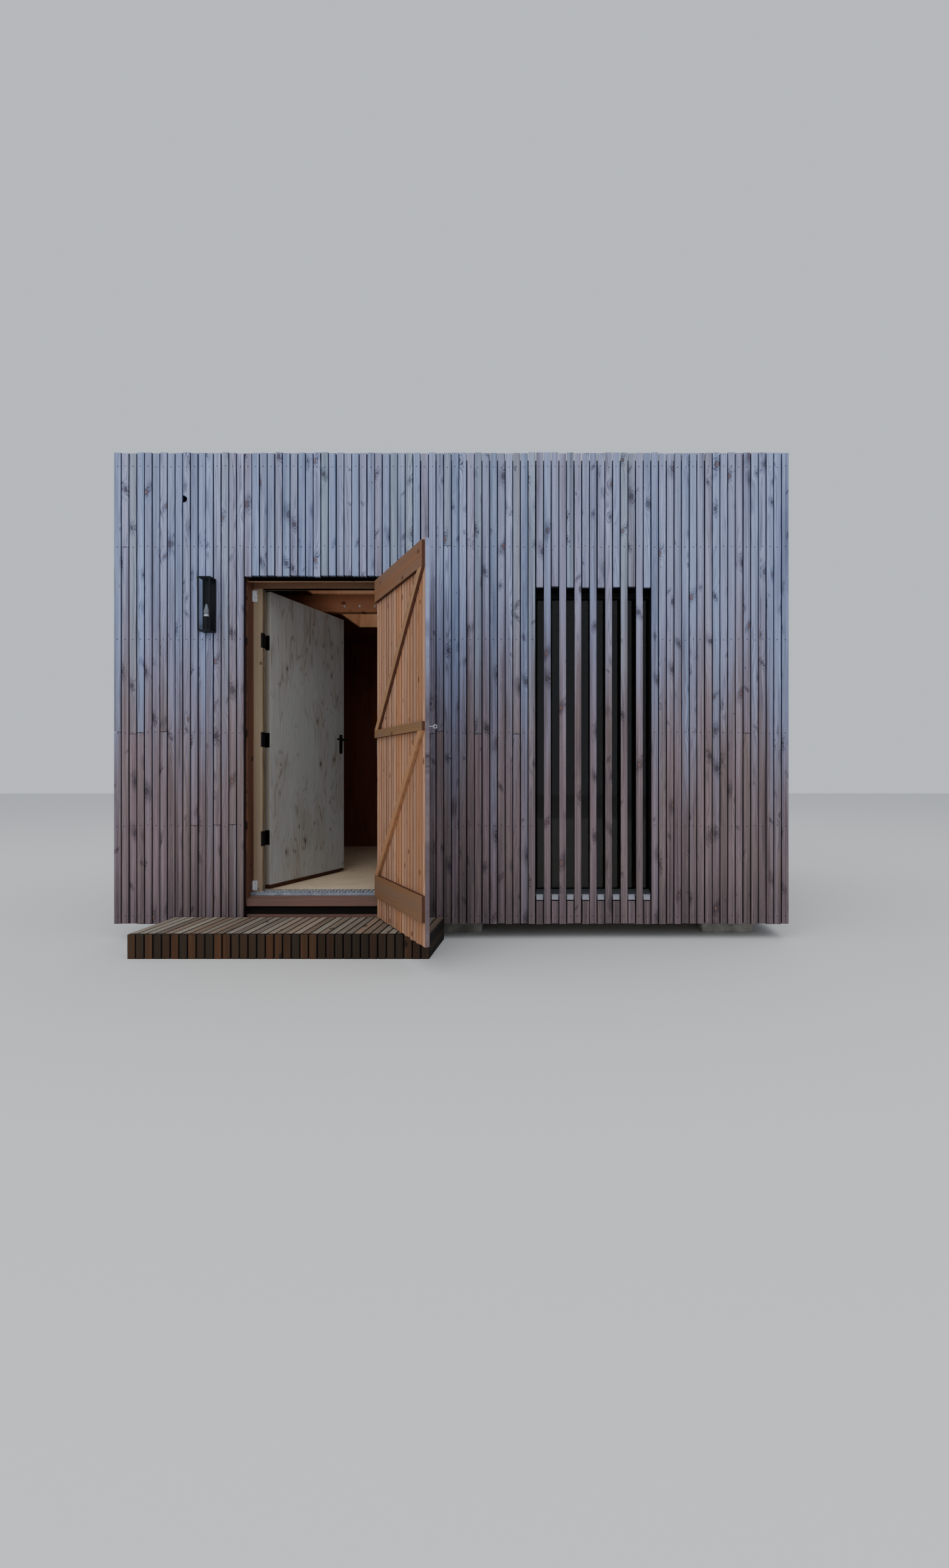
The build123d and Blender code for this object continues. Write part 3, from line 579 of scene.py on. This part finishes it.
plyLook = dict(loops=11.0, sharpness=3.0, lineDepth=0.4, knots=5.0, roughness=0.5)
leafLook = dict(
    plyLook, pale="a8aaa8", patch="9c9488", line="6c5c4a", knot="4a3a2e", core="9c958a",
    foot="46241b", loops=22.0, sharpness=8.0, lineDepth=0.6, knots=5.5,
    frontCore=(0.0035, 0.0042), backCore=(0.0405, 0.0398), footTop=(0.0222, 0.0215),
)
# the room's plywood is made dark red as painted shade of the unlit room; the well's plywood has its own
# colour
shadedRoomLook = dict(
    plyLook, pale="7a4836", patch="6a3c2b", line="4c2a1d", knot="2a150e", roughness=0.55,
)
wellLook = dict(
    plyLook, pale="d6a680", patch="bf8a63", line="98653f", knot="5c3820", loops=12.0,
)
floorLook = dict(
    plyLook, pale="dcc7ab", patch="cdb595", line="b0946f", knot="8a7152",
    loops=7.0, lineDepth=0.25, knots=3.0, roughness=0.35,
)
finishes.update({
    "leaf": plywood("door_plywood", leafLook, layers=True),
    "room": plywood("room_plywood_painted_shade", shadedRoomLook),
    "well": plywood("well_plywood", wellLook),
    "floor": plywood("floor_boards", floorLook),
    # the window pane's dark olive, partly opaque colour is painted reflection and painted shade of the room
    # behind
    "windowPane": glazing("window_pane", dict(tint="0d100d", alpha=0.6, smear=0.15)),
    "lampPane": glazing("lamp_pane", dict(tint="141a22", alpha=0.1, smear=0.06)),
    "roofPane": glazing("roof_pane", dict(tint="4a5055", alpha=0.14, smear=0.1)),
    "bulb": glazing("bulb_glass", dict(tint="b4becb", alpha=0.4, smear=0.1)),
})
sheetLook = dict(grit=900.0, roughSpread=0.2, relief=0.0001, gloss=0.4, metallic=0.0)
for key, name, look in (
    ("concrete", "pad_concrete", dict(
        dark="6b6963", light="98958d", cloud=9.0, grit=260.0, speckle=0.5,
        roughness=0.8, roughSpread=0.1, relief=0.002,
    )),
    ("membrane", "wall_membrane", dict(
        dark="0c0b0c", light="17151a", cloud=5.0, grit=500.0, speckle=0.4,
        roughness=0.65, relief=0.0004,
    )),
    ("roof", "roof_sheet", dict(
        dark="2b2c2e", light="3f4143", cloud=2.2, grit=300.0, speckle=0.3,
        roughness=0.6, roughSpread=0.3, relief=0.0006,
        seam="1c1c1e", seamPitch=1.1, seamWidth=0.03,
    )),
    ("cap", "cap_metal", dict(
        dark="5f6266", light="73767a", cloud=3.0, grit=600.0, speckle=0.12,
        roughness=0.35, relief=0.0002, gloss=0.5, metallic=0.3,
    )),
    ("paint", "dark_paint", dict(
        dark="0d0b0a", light="141110", cloud=8.0, speckle=0.15,
        roughness=0.45, roughSpread=0.15, gloss=0.3,
    )),
    ("black", "black_coat", dict(
        dark="050507", light="0b0b0f", cloud=20.0, grit=1500.0, speckle=0.3,
        roughness=0.42, roughSpread=0.12, relief=0.00005, gloss=0.3,
    )),
    ("white", "white_ceramic", dict(
        dark="dfe2ea", light="f2f4fa", cloud=20.0, speckle=0.05,
        roughness=0.3, roughSpread=0.1, relief=0.00005,
    )),
    ("zinc", "zinc_plate", dict(
        dark="bcc0c6", light="dfe2e6", cloud=60.0, speckle=0.25,
        roughness=0.35, roughSpread=0.25, metallic=0.6,
    )),
    ("chequer", "tread_plate", dict(
        dark="7d838c", light="9aa0a9", cloud=14.0, grit=700.0, speckle=0.2,
        roughness=0.32, metallic=0.7,
    )),
    ("treadBar", "tread_bar", dict(
        dark="c9ced6", light="eef1f5", cloud=30.0, speckle=0.1,
        roughness=0.3, roughSpread=0.1, metallic=0.5,
    )),
    ("nail", "nail_steel", dict(
        dark="2b2522", light="4a413c", cloud=80.0, speckle=0.4,
        roughness=0.5, metallic=0.6,
    )),
):
    finishes[key] = mottled(name, dict(sheetLook, **look))
print("finishes made:", len(finishes))


# One board, modelled once: a bar with eased edges and stations along it
boardShape = dict(width=0.045, depth=0.025, length=1.0, ease=0.0014, edge=0.0035, stations=5)
boardHalf = np.array([boardShape[name] / 2 for name in ("width", "depth", "length")])
boardMaster = easeEdges(addBox(-boardHalf, boardHalf), boardShape["ease"])
for station in range(boardShape["stations"]):
    height = boardShape["length"] * ((station + 1) / (boardShape["stations"] + 1) - 0.5)
    cutAt(boardMaster, (0, 0, height), (0, 0, 1), clear=False)
boardPlaces = readPlaces(boardMaster.data)


def layBoard(low, high, facing, along, crook=0.0, slant=0.0):
    axes = boardAxes(facing, along)
    low, high = np.array(low, float), np.array(high, float)
    size = np.abs(axes @ (high - low))
    atEdge = np.abs(boardPlaces) > boardHalf - boardShape["edge"]
    fromEnd = np.sign(boardPlaces) * (size / 2 - boardHalf + np.abs(boardPlaces))
    local = np.where(atEdge, fromEnd, boardPlaces * size / (2 * boardHalf))
    local[:, 0] += crook * (1 - (2 * local[:, 2] / size[2]) ** 2)
    topEnd = local[:, 2] > size[2] / 2 - boardShape["edge"]
    local[:, 2] -= np.where(topEnd, slant * (0.5 - local[:, 1] / size[1]), 0)
    board = copyMesh(boardMaster.data)
    places = (low + high) / 2 + local @ axes
    board.data.vertices.foreach_set("co", places.astype(np.float32).ravel())
    board.data.update()
    writeGrain(board.data, local + np.array([0, size[1] / 2, size[2] / 2]), chance.random())
    return board


# The upright battens, with uneven ends and here and there a butt joint on a counter-batten
battens = dict(
    width=0.045, gap=0.005, depth=0.025, widthPlay=0.0008, depthPlay=0.0006,
    endPlay=0.004, crook=0.0012, jointShare=0.24, jointGap=0.003, jointPlay=0.012,
    shortest=0.2, bevel=0.037, bareDepth=0.0004, bareShift=(0.75, 0, 1),
)
battenPitch = battens["width"] + battens["gap"]
counterPlaces = readPlaces(frame["nodes"]["counter_battens"].data)
edges = sorted({round(height, 3) for height in counterPlaces[:, 2]})
rows = [(low + high) / 2 for low, high in zip(edges[::2], edges[1::2])]


def play(amount):
    return chance.uniform(-amount, amount)


def battenRun(low, high, facing, every=1, slant=0.0, joints=True):
    side = 0 if facing[1] else 1  # the axis that the run follows
    length = high[side] - low[side]
    count = round((length + battens["gap"]) / battenPitch)
    pitch = (length + battens["gap"]) / count
    run = []
    for position in range(0, count, every):
        start, end = list(low), list(high)
        start[side] = low[side] + position * pitch + play(battens["widthPlay"])
        end[side] = start[side] + pitch - battens["gap"] + play(battens["widthPlay"])
        start[2] += play(battens["endPlay"])
        if not slant:
            end[2] += play(battens["endPlay"])
        proud = Vector(facing) * play(battens["depthPlay"])
        bows = 0 < position < count - 1  # the first and the last are straight
        spans = [(start[2], end[2])]
        if joints and chance.random() < battens["jointShare"]:
            joint = chance.choice(rows[1:-1]) + play(battens["jointPlay"])
            if start[2] + battens["shortest"] < joint < end[2] - battens["shortest"]:
                half = battens["jointGap"] / 2
                spans = [(start[2], joint - half), (joint + half, end[2])]
        for foot, head in spans:
            corners = Vector((*start[:2], foot)) + proud, Vector((*end[:2], head)) + proud
            run.append(layBoard(*corners, facing, up, play(battens["crook"]) * bows, slant))
    return run


def regrain(board, change):
    attribute = board.data.attributes["grain"].data
    grain = np.zeros(len(attribute) * 3, np.float32)
    attribute.foreach_get("vector", grain)
    attribute.foreach_set("vector", change(grain.reshape(-1, 3)).ravel())


def bareSide(board, side):
    def change(grain):
        atSide = side * grain[:, 0] > np.abs(grain[:, 0]).max() - battens["bareDepth"]
        grain[atSide] = grain[atSide] * battens["bareShift"]
        return grain
    regrain(board, change)


def bareEnds(run, facing, *ends):  # the last batten before a corner shows its side
    side = 0 if facing[1] else 1
    turn = facing[1] < 0 or facing[0] > 0
    middles = [(board.bound_box[0][side] + board.bound_box[6][side]) / 2 for board in run]
    for end in ends:
        last = min(middles) if end < 0 else max(middles)
        for board, middle in zip(run, middles):
            if abs(middle - last) < battens["width"] / 2:
                bareSide(board, end if turn else -end)


def settleLarch(run, name, node):
    settle(joinPieces(run), name, "larch_cladding", "larch", node)


knotHole = dict(
    batten=9, height=2.867, halfWidth=0.027, halfHeight=0.024, reach=0.06, sides=20,
)


def knockOut(run, low):  # a knot has dropped out of one batten's edge
    x = low.x + knotHole["batten"] * battenPitch
    for board in run:
        foot, head = board.bound_box[0], board.bound_box[6]
        if abs(foot[0] - x) < battens["gap"] / 2 and foot[2] < knotHole["height"] < head[2]:
            plug = addRod((0, -knotHole["reach"], 0), (0, knotHole["reach"], 0), 1.0, knotHole["sides"])
            shrink = Matrix.Diagonal((knotHole["halfWidth"], 1.0, knotHole["halfHeight"], 1.0))
            plug.data.transform(Matrix.Translation((foot[0], foot[1], knotHole["height"])) @ shrink)
            start = np.array(((foot[0] + head[0]) / 2, foot[1], foot[2]))
            tone = board.data.attributes["tone"].data[0].value
            carve(board, plug)
            for name in ("grain", "tone"):
                board.data.attributes.remove(board.data.attributes[name])
            writeGrain(board.data, readPlaces(board.data) - start, tone)


for part in ("left", "over_door", "middle", "right"):
    node = "cladding_" + part
    low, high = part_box(node)
    run = battenRun(low, high, outward)
    if part == "left":
        knockOut(run, low)
        bareEnds(run, outward, -1)
    if part == "right":
        bareEnds(run, outward, 1)
    settleLarch(run, "battens_" + part, node)

low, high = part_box("window_slats")
settleLarch(battenRun(low, high, outward, every=2, joints=False), "battens_window_slats", "window_slats")

low, high = cutLow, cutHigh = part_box("window_cut_battens")
cutFoot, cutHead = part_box("floor")[1].z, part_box("window_frame")[1].z
lowEnd, highStart = (high.x, high.y, cutFoot), (low.x, low.y, cutHead)
run = battenRun(low, lowEnd, outward, every=2, slant=battens["bevel"], joints=False)
run += battenRun(highStart, high, outward, every=2, joints=False)
settleLarch(run, "battens_window_cut", "window_cut_battens")

low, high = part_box("side_cladding")
run = battenRun(low, (low.x + battens["depth"], high.y, high.z), left)
run += battenRun((high.x - battens["depth"], low.y, low.z), high, right)
settleLarch(run, "battens_sides", "side_cladding")

low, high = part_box("back_cladding")
run = battenRun(low, high, inward)
bareEnds(run, inward, -1, 1)
settleLarch(run, "battens_back", "back_cladding")
print("battens laid")


# The outer door's battens are laid closed, then swung out with the leaf
outerJoint = jointOf("outer_door_hinge")
toPivot = Matrix.Translation(Vector(outerJoint["pos_m"]))
outerOpen = math.radians(-outerJoint["range_deg"][0])
swingOut = toPivot @ Matrix.Rotation(outerOpen, 4, up) @ toPivot.inverted()
swingBack = np.array(swingOut.inverted())
places = readPlaces(frame["nodes"]["outer_door_boards"].data) @ swingBack[:3, :3].T + swingBack[:3, 3]
run = battenRun(Vector(places.min(0)), Vector(places.max(0)), outward, joints=False)
bareEnds(run, outward, -1, 1)
boards = joinPieces(run)
boards.data.transform(swingOut)
settle(
    boards, "outer_door_battens", "larch_cladding", "doorLarch", "outer_door_boards", body="outer_door",
)
print("outer door laid")


def modelHead(look):  # the head of a nail or a bolt, on +Z, with its top raised
    head = addRod((0, 0, -look["height"]), (0, 0, look["height"]), look["radius"], look["sides"])
    pickOnly(head)
    for face in head.data.polygons:
        face.select = face.normal.z > 0.9
    for edge in head.data.edges:
        edge.select = False
    for vertex in head.data.vertices:
        vertex.select = vertex.co.z > 0
    bpy.ops.object.mode_set(mode="EDIT")
    bpy.ops.mesh.inset(thickness=look["radius"] * 0.4, depth=look["crown"])
    bpy.ops.object.mode_set(mode="OBJECT")
    return head


def copyAt(master, place):
    piece = copyMesh(master.data)
    piece.data.transform(place)
    return piece


def scatter(name, master, spots, slot, finish):  # a master's +Z stands up on each face
    copies = []
    for point, facing in spots:
        turn = facing.to_track_quat("Z", "Y").to_matrix().to_4x4()
        copies.append(copyAt(master, Matrix.Translation(point) @ turn))
    settle(joinPieces(copies), name, slot, finish)


# Nails: one in each batten at each row of counter-battens
nails = dict(
    radius=0.0033, height=0.0008, sides=8, crown=0.0003, sideways=0.003, upward=0.005,
)
doorLow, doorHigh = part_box("cladding_over_door")
nailHead = modelHead(nails)


def nailSpots(low, high, facing, skip=lambda x, z: False):
    side = 0 if facing[1] else 1
    across = 1 - side
    face = high[across] if facing[across] > 0 else low[across]
    spots = []
    for position in range(round((high[side] - low[side] + battens["gap"]) / battenPitch)):
        middle = low[side] + position * battenPitch + battens["width"] / 2
        for row in rows:
            point = Vector((0, 0, row + play(nails["upward"])))
            point[side] = middle + play(nails["sideways"])
            point[across] = face
            if not skip(middle, row):
                spots.append((point, facing))
    return spots


def overOpening(x, z):
    door = doorLow.x < x < doorHigh.x and z < doorLow.z
    window = cutLow.x < x < cutHigh.x and cutFoot < z < cutHead
    return door or window


frontLow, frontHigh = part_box("cladding_left")[0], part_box("cladding_right")[1]
sides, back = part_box("side_cladding"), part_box("back_cladding")
for part, spots in (
    ("front", nailSpots(frontLow, frontHigh, outward, overOpening)),
    ("sides", nailSpots(*sides, left) + nailSpots(*sides, right)),
    ("back", nailSpots(*back, inward)),
):
    scatter("nails_" + part, nailHead, spots, "larch_cladding", "nail")
print("nails driven")


# The outer door's frame: ledges and braces behind the battens
doorFrame = dict(ease=0.0015, shade=np.array((1, 0.04, 1), np.float32))
facingIn = swingOut.to_3x3() @ inward
alongLedge = swingOut.to_3x3() @ left


def islands(piece):
    pickOnly(piece)
    bpy.ops.mesh.separate(type="LOOSE")
    return sorted(bpy.context.selected_objects, key=lambda part: part.bound_box[0][2])


ledges = islands(easeEdges(copyNode("outer_door_ledges"), doorFrame["ease"]))
for ledge in ledges:
    grainAlong(ledge, facingIn, alongLedge)
settle(
    joinPieces(ledges), "outer_door_ledge_boards", "fresh_larch", "ledge", "outer_door_ledges",
    body="outer_door",
)
braces = islands(easeEdges(copyNode("outer_door_braces"), doorFrame["ease"]))
for brace in braces:
    span = Vector(brace.bound_box[6]) - Vector(brace.bound_box[0])
    slope = up * span.z + alongLedge * span.xy.length
    grainAlong(brace, facingIn, slope.normalized())
regrain(braces[0], lambda grain: grain * doorFrame["shade"])  # its sides are in the light
settle(
    joinPieces(braces), "outer_door_brace_boards", "fresh_larch", "brace", "outer_door_braces",
    body="outer_door",
)

# Metal fittings of the doors, the doorway and the lantern
for node, body, slot, key, ease in (
    ("outer_jamb_hinges", "pod", "zinc", "zinc", 0.0003),
    ("outer_leaf_hinges", "outer_door", "zinc", "zinc", 0.0003),
    ("outer_door_eye", "outer_door", "zinc", "zinc", 0),
    ("inner_jamb_hinges", "pod", "black_steel", "black", 0.0003),
    ("inner_leaf_hinges", "inner_door", "black_steel", "black", 0.0003),
    ("lock_plates", "inner_door", "black_steel", "black", 0.0005),
    ("lever_handles", "lever", "black_steel", "black", 0),
    ("lantern_holder", "pod", "black_steel", "black", 0.001),
    ("jamb_brackets", "pod", "zinc", "zinc", 0.0004),
):
    piece = copyNode(node)
    if ease:
        easeEdges(piece, ease, segments=1, angle=50)
    settle(smoothed(piece, angle=40), node + "_finished", slot, key, node, body=body)
print("fittings finished")


# The inner door's leaf
innerOpen = math.radians(-jointOf("inner_door_hinge")["range_deg"][0])
leafFacing = Matrix.Rotation(innerOpen, 3, "Z") @ outward
leaf = grainAlong(easeEdges(copyNode("inner_door_leaf"), width=0.0012), leafFacing, up)
settle(leaf, "inner_door_panel", "door_plywood", "leaf", "inner_door_leaf", body="inner_door")


# Doorway: members cut from the solid, each with its own grain
doorway = dict(
    frameHead=0.033, stopHead=0.046, liningHead=0.020, ease=0.0012, liningEase=0.001,
    plateEdge=0.060, plateReach=0.010, plateProud=0.0012, plateBack=0.001, plateEase=0.0004,
    trimLow=0.028, trimHigh=0.018, trimFront=0.0505, trimDepth=0.012, trimEase=0.001,
    trimBearing=0.010,
)


def member(node, low, high, facing, along, ease):
    return grainAlong(easeEdges(clipTo(copyNode(node), low, high), ease), facing, along)


def jambsAndHead(node, thick, facings, ease):
    low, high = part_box(node)
    head, middle = high.z - thick, (low.x + high.x) / 2
    anywhere = (None, None, None)
    jambs = joinPieces([
        member(node, anywhere, (middle, None, head), facings[0], up, ease),
        member(node, (middle, None, None), (None, None, head), facings[1], up, ease),
    ])
    return jambs, member(node, (None, None, head), anywhere, facings[2], right, ease)


for node, thick in (("door_frame", doorway["frameHead"]), ("door_stop", doorway["stopHead"])):
    jambs, head = jambsAndHead(node, thick, (outward, outward, outward), doorway["ease"])
    settle(jambs, node + "_jambs", "door_frame_timber", "frame", node)
    # the heads take the darker timber: painted shade
    settle(head, node + "_head", "door_frame_timber", "head")

low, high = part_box("door_stop")
edge, proud = low.x + doorway["plateEdge"], doorway["plateProud"]
plates = []
for hinge in islands(copyNode("inner_jamb_hinges")):
    levels = readPlaces(hinge.data)[:, 2]
    bpy.data.objects.remove(hinge)
    corner = (edge - doorway["plateReach"], low.y - proud, levels.min())
    plates.append(addBox(corner, (edge + proud, high.y - doorway["plateBack"], levels.max())))
plates = easeEdges(joinPieces(plates), doorway["plateEase"], segments=1)
settle(plates, "stop_hinge_plates", "black_steel", "black")

low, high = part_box("door_lining")
bearing, front = doorway["trimBearing"], cadFront + doorway["trimFront"]
under = high.z - doorway["liningHead"]
trim = addBox(
    (low.x + bearing, front, under - doorway["trimLow"]),
    (high.x - bearing, front + doorway["trimDepth"], under - doorway["trimHigh"]),
)
trim = grainAlong(easeEdges(trim, doorway["trimEase"]), outward, right)
# the trim takes the darker head timber: painted shade
settle(trim, "door_head_trim", "door_lining_timber", "head")
jambs, head = jambsAndHead("door_lining", doorway["liningHead"], (right, left, down), doorway["liningEase"])
settle(jambs, "door_reveal_boards", "door_lining_timber", "lining", "door_lining")
# the reveal's head takes the near-black base timber: painted shade
settle(head, "door_reveal_head", "door_lining_timber", "base")
for node, slot, key, along, ease in (
    ("door_sill", "sill_larch", "sill", right, 0.002),
    ("foot_rail", "sill_larch", "sill", right, 0.002),
    ("roof_beam", "beam_timber", "beam", right, 0.003),
    ("step_bearers", "treated_timber", "raw", right, 0.001),
    ("counter_battens", "treated_timber", "raw", right, 0),
    ("floor_joists", "treated_timber", "base", inward, 0),
    ("floor_rim", "treated_timber", "base", right, 0),
):
    piece = copyNode(node)
    if ease:
        easeEdges(piece, ease)
    settle(grainAlong(piece, outward, along), node + "_timber", slot, key, node)


# Chequered plate: bars that slant one way, then the other, along each row
tread = dict(
    spacing=0.030, length=0.0155, width=0.0042, height=0.0018, sides=8, margin=0.012,
    top=0.7, slant=50,
)
bpy.ops.object.select_all(action="DESELECT")
bpy.ops.mesh.primitive_cone_add(
    vertices=tread["sides"], radius1=tread["length"], radius2=tread["length"] * tread["top"],
    depth=tread["height"], location=(0, 0, tread["height"] / 2),
    scale=(1, tread["width"] / tread["length"], 1),
)
bpy.ops.object.transform_apply()
treadMaster = bpy.context.active_object
low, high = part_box("threshold_plate")
spacing = tread["spacing"]
count = [int((high[axis] - low[axis] - 2 * tread["margin"]) / spacing) for axis in (0, 1)]
start = [(low[axis] + high[axis] - (count[axis] - 1) * spacing) / 2 for axis in (0, 1)]
bars = []
for column in range(count[0]):
    for row in range(count[1]):
        point = Matrix.Translation((start[0] + column * spacing, start[1] + row * spacing, high.z))
        slant = math.radians(tread["slant"] if (column + row) % 2 else -tread["slant"])
        bars.append(copyAt(treadMaster, point @ Matrix.Rotation(slant, 4, "Z")))
settle(joinPieces(bars), "tread_bars", "chequer_plate", "treadBar")
plate = easeEdges(copyNode("threshold_plate"), width=0.0008)
settle(plate, "tread_plate", "chequer_plate", "chequer", "threshold_plate")
print("doorway finished")


# Bolts through the beam
beamBolts = dict(
    places=(-1.019, -0.898, -0.777), drop=0.091,
    radius=0.0085, height=0.006, sides=12, crown=0.002,
)
low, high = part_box("roof_beam")
boltHead = modelHead(beamBolts)
level = high.z - beamBolts["drop"]
spots = [(Vector((x, low.y, level)), outward) for x in beamBolts["places"]]
spots += [(Vector((x, high.y, level)), inward) for x in beamBolts["places"]]
scatter("beam_bolts", boltHead, spots, "zinc", "zinc")


# Step: boards stand along the front, planks lie along the ends, and the deck runs back between
stepBoards = dict(
    gap=0.005, count=35, thickness=0.025, widthPlay=0.0006, liftPlay=0.0008, crook=0.0006,
)


def stepRun(low, high, facing, along):
    pitch = (high[0] - low[0] + stepBoards["gap"]) / stepBoards["count"]
    run = []
    for position in range(stepBoards["count"]):
        start = low[0] + position * pitch
        corner, far = Vector(low), Vector(high)
        corner.x = start + play(stepBoards["widthPlay"])
        far.x = start + pitch - stepBoards["gap"] + play(stepBoards["widthPlay"])
        lift = facing * play(stepBoards["liftPlay"])
        run.append(layBoard(corner + lift, far + lift, facing, along, play(stepBoards["crook"])))
    return run


low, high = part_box("step_deck")
run = stepRun(low, high, up, inward)
settle(joinPieces(run), "step_deck_boards", "step_timber", "deck", "step_deck")
low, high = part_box("step_skirt")
thick = stepBoards["thickness"]
run = stepRun(low, (high.x, low.y + thick, high.z), outward, up)
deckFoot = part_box("step_deck")[0].z
run.append(layBoard((low.x, low.y + thick, low.z), (low.x + thick, high.y, deckFoot), left, inward))
run.append(layBoard((high.x - thick, low.y + thick, low.z), (high.x, high.y, deckFoot), right, inward))
settle(joinPieces(run), "step_front_boards", "step_timber", "skirt", "step_skirt")
print("step laid")


# Window, roof, lantern and pads keep their solids' shapes, with eased edges
for node, slot, key, ease in (
    ("window_frame", "dark_frame", "paint", 0.003),
    ("window_sill", "cap_metal", "cap", 0.001),
    ("parapet_cap", "cap_metal", "cap", 0.003),
    ("roof_glass", "clear_glass", "roofPane", 0.002),
    ("lantern_case", "black_steel", "black", 0.0008),
    ("lantern_glass", "clear_glass", "lampPane", 0.0003),
    ("foundation_pads", "concrete", "concrete", 0.006),
    ("roof_light_wells", "well_timber", "well", 0.001),
):
    settle(easeEdges(copyNode(node), ease), node + "_finished", slot, key, node)

kerb = dict(lap=0.0015, underPane=0.001)  # roof sheet turned up round the roof light
low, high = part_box("roof_light_wells")
lap = Vector((kerb["lap"], kerb["lap"], -kerb["underPane"]))
sleeve = addBox((low.x - lap.x, low.y - lap.y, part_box("roof_slab")[1].z), high + lap)
settle(carve(sleeve, addBox(low, high + up)), "kerb_sheet", "roof_membrane", "roof")

collarShape = dict(radius=0.0145, foot=-0.003, head=0.009, sides=24)
low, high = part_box("lantern_holder")
x, y, _ = (low + high) / 2
foot, head = high.z + collarShape["foot"], high.z + collarShape["head"]
collar = addRod((x, y, foot), (x, y, head), collarShape["radius"], collarShape["sides"])
settle(smoothed(easeEdges(collar, width=0.001)), "lamp_collar", "bulb_glass", "white")
bulb = applyModifier(copyNode("lantern_bulb"), "SUBSURF", levels=2, render_levels=2)
settle(smoothed(bulb, angle=80), "lamp_bulb", "bulb_glass", "bulb", "lantern_bulb")

# the wall lining and ceiling take the darkened room plywood: painted shade
for node, key in (
    ("floor", "floor"), ("front_wall_left", "membrane"), ("front_wall_over_door", "membrane"),
    ("front_wall_right", "membrane"), ("side_walls", "membrane"), ("back_wall", "membrane"),
    ("wall_lining", "room"), ("ceiling", "room"), ("roof_slab", "roof"), ("window_glass", "windowPane"),
):
    solid = frame["nodes"][node]
    solid.data.materials.clear()
    solid.data.materials.append(finishes[key])
print("window, roof and lantern finished")


# Studio: a pale floor, soft light and the photograph's view
view = dict(
    height=1.077, sideways=0.760, fromFront=4.214, focalPixels=1017.0,
    width=1492, tall=2464, vanish=(893.0, 1216.0), sensor=36.0,
)
studio = dict(
    floorSize=60.0, floor="d9d9d6", sky="e4eaf4", skyStrength=0.85,
    lamps=(
        ("overhead", (0.0, -3.0, 11.0), (0.0, 0.0, 0.0), 18.0, 620.0),
        ("front", (-1.0, -10.0, 5.5), (0.0, 0.0, 1.4), 12.0, 380.0),
    ),
)

bpy.ops.object.select_all(action="DESELECT")
bpy.ops.mesh.primitive_plane_add(size=studio["floorSize"])
floor = bpy.context.active_object
floor.name = "studio_floor"
finish = Finish("studio_floor", {"Base Color": paint(studio["floor"]), "Roughness": 0.9})
floor.data.materials.append(finish.material)

world = bpy.context.scene.world = bpy.data.worlds.new("studio")
world.use_nodes = True
background = world.node_tree.nodes["Background"]
background.inputs["Color"].default_value = paint(studio["sky"])
background.inputs["Strength"].default_value = studio["skyStrength"]
for name, position, target, size, power in studio["lamps"]:
    light = bpy.data.lights.new(name, "AREA")
    light.size, light.energy = size, power
    holder = bpy.data.objects.new(name, light)
    holder.location = position
    holder.rotation_euler = (Vector(position) - Vector(target)).to_track_quat("Z", "Y").to_euler()
    holder.visible_glossy = name != "front"  # the panes show no square of light
    bpy.context.scene.collection.objects.link(holder)

camera = bpy.data.cameras.new("photo_view")
camera.sensor_width = view["sensor"]
camera.lens = view["focalPixels"] / view["tall"] * view["sensor"]
camera.shift_x = (view["width"] / 2 - view["vanish"][0]) / view["tall"]
camera.shift_y = (view["vanish"][1] - view["tall"] / 2) / view["tall"]
holder = bpy.data.objects.new("photo_view", camera)
holder.location = (view["sideways"], cadFront - view["fromFront"], view["height"])
holder.rotation_euler = (math.radians(90), 0, 0)
bpy.context.scene.collection.objects.link(holder)
bpy.context.scene.camera = holder

for master in (boardMaster, nailHead, boltHead, treadMaster):
    bpy.data.objects.remove(master)
print("scene made")
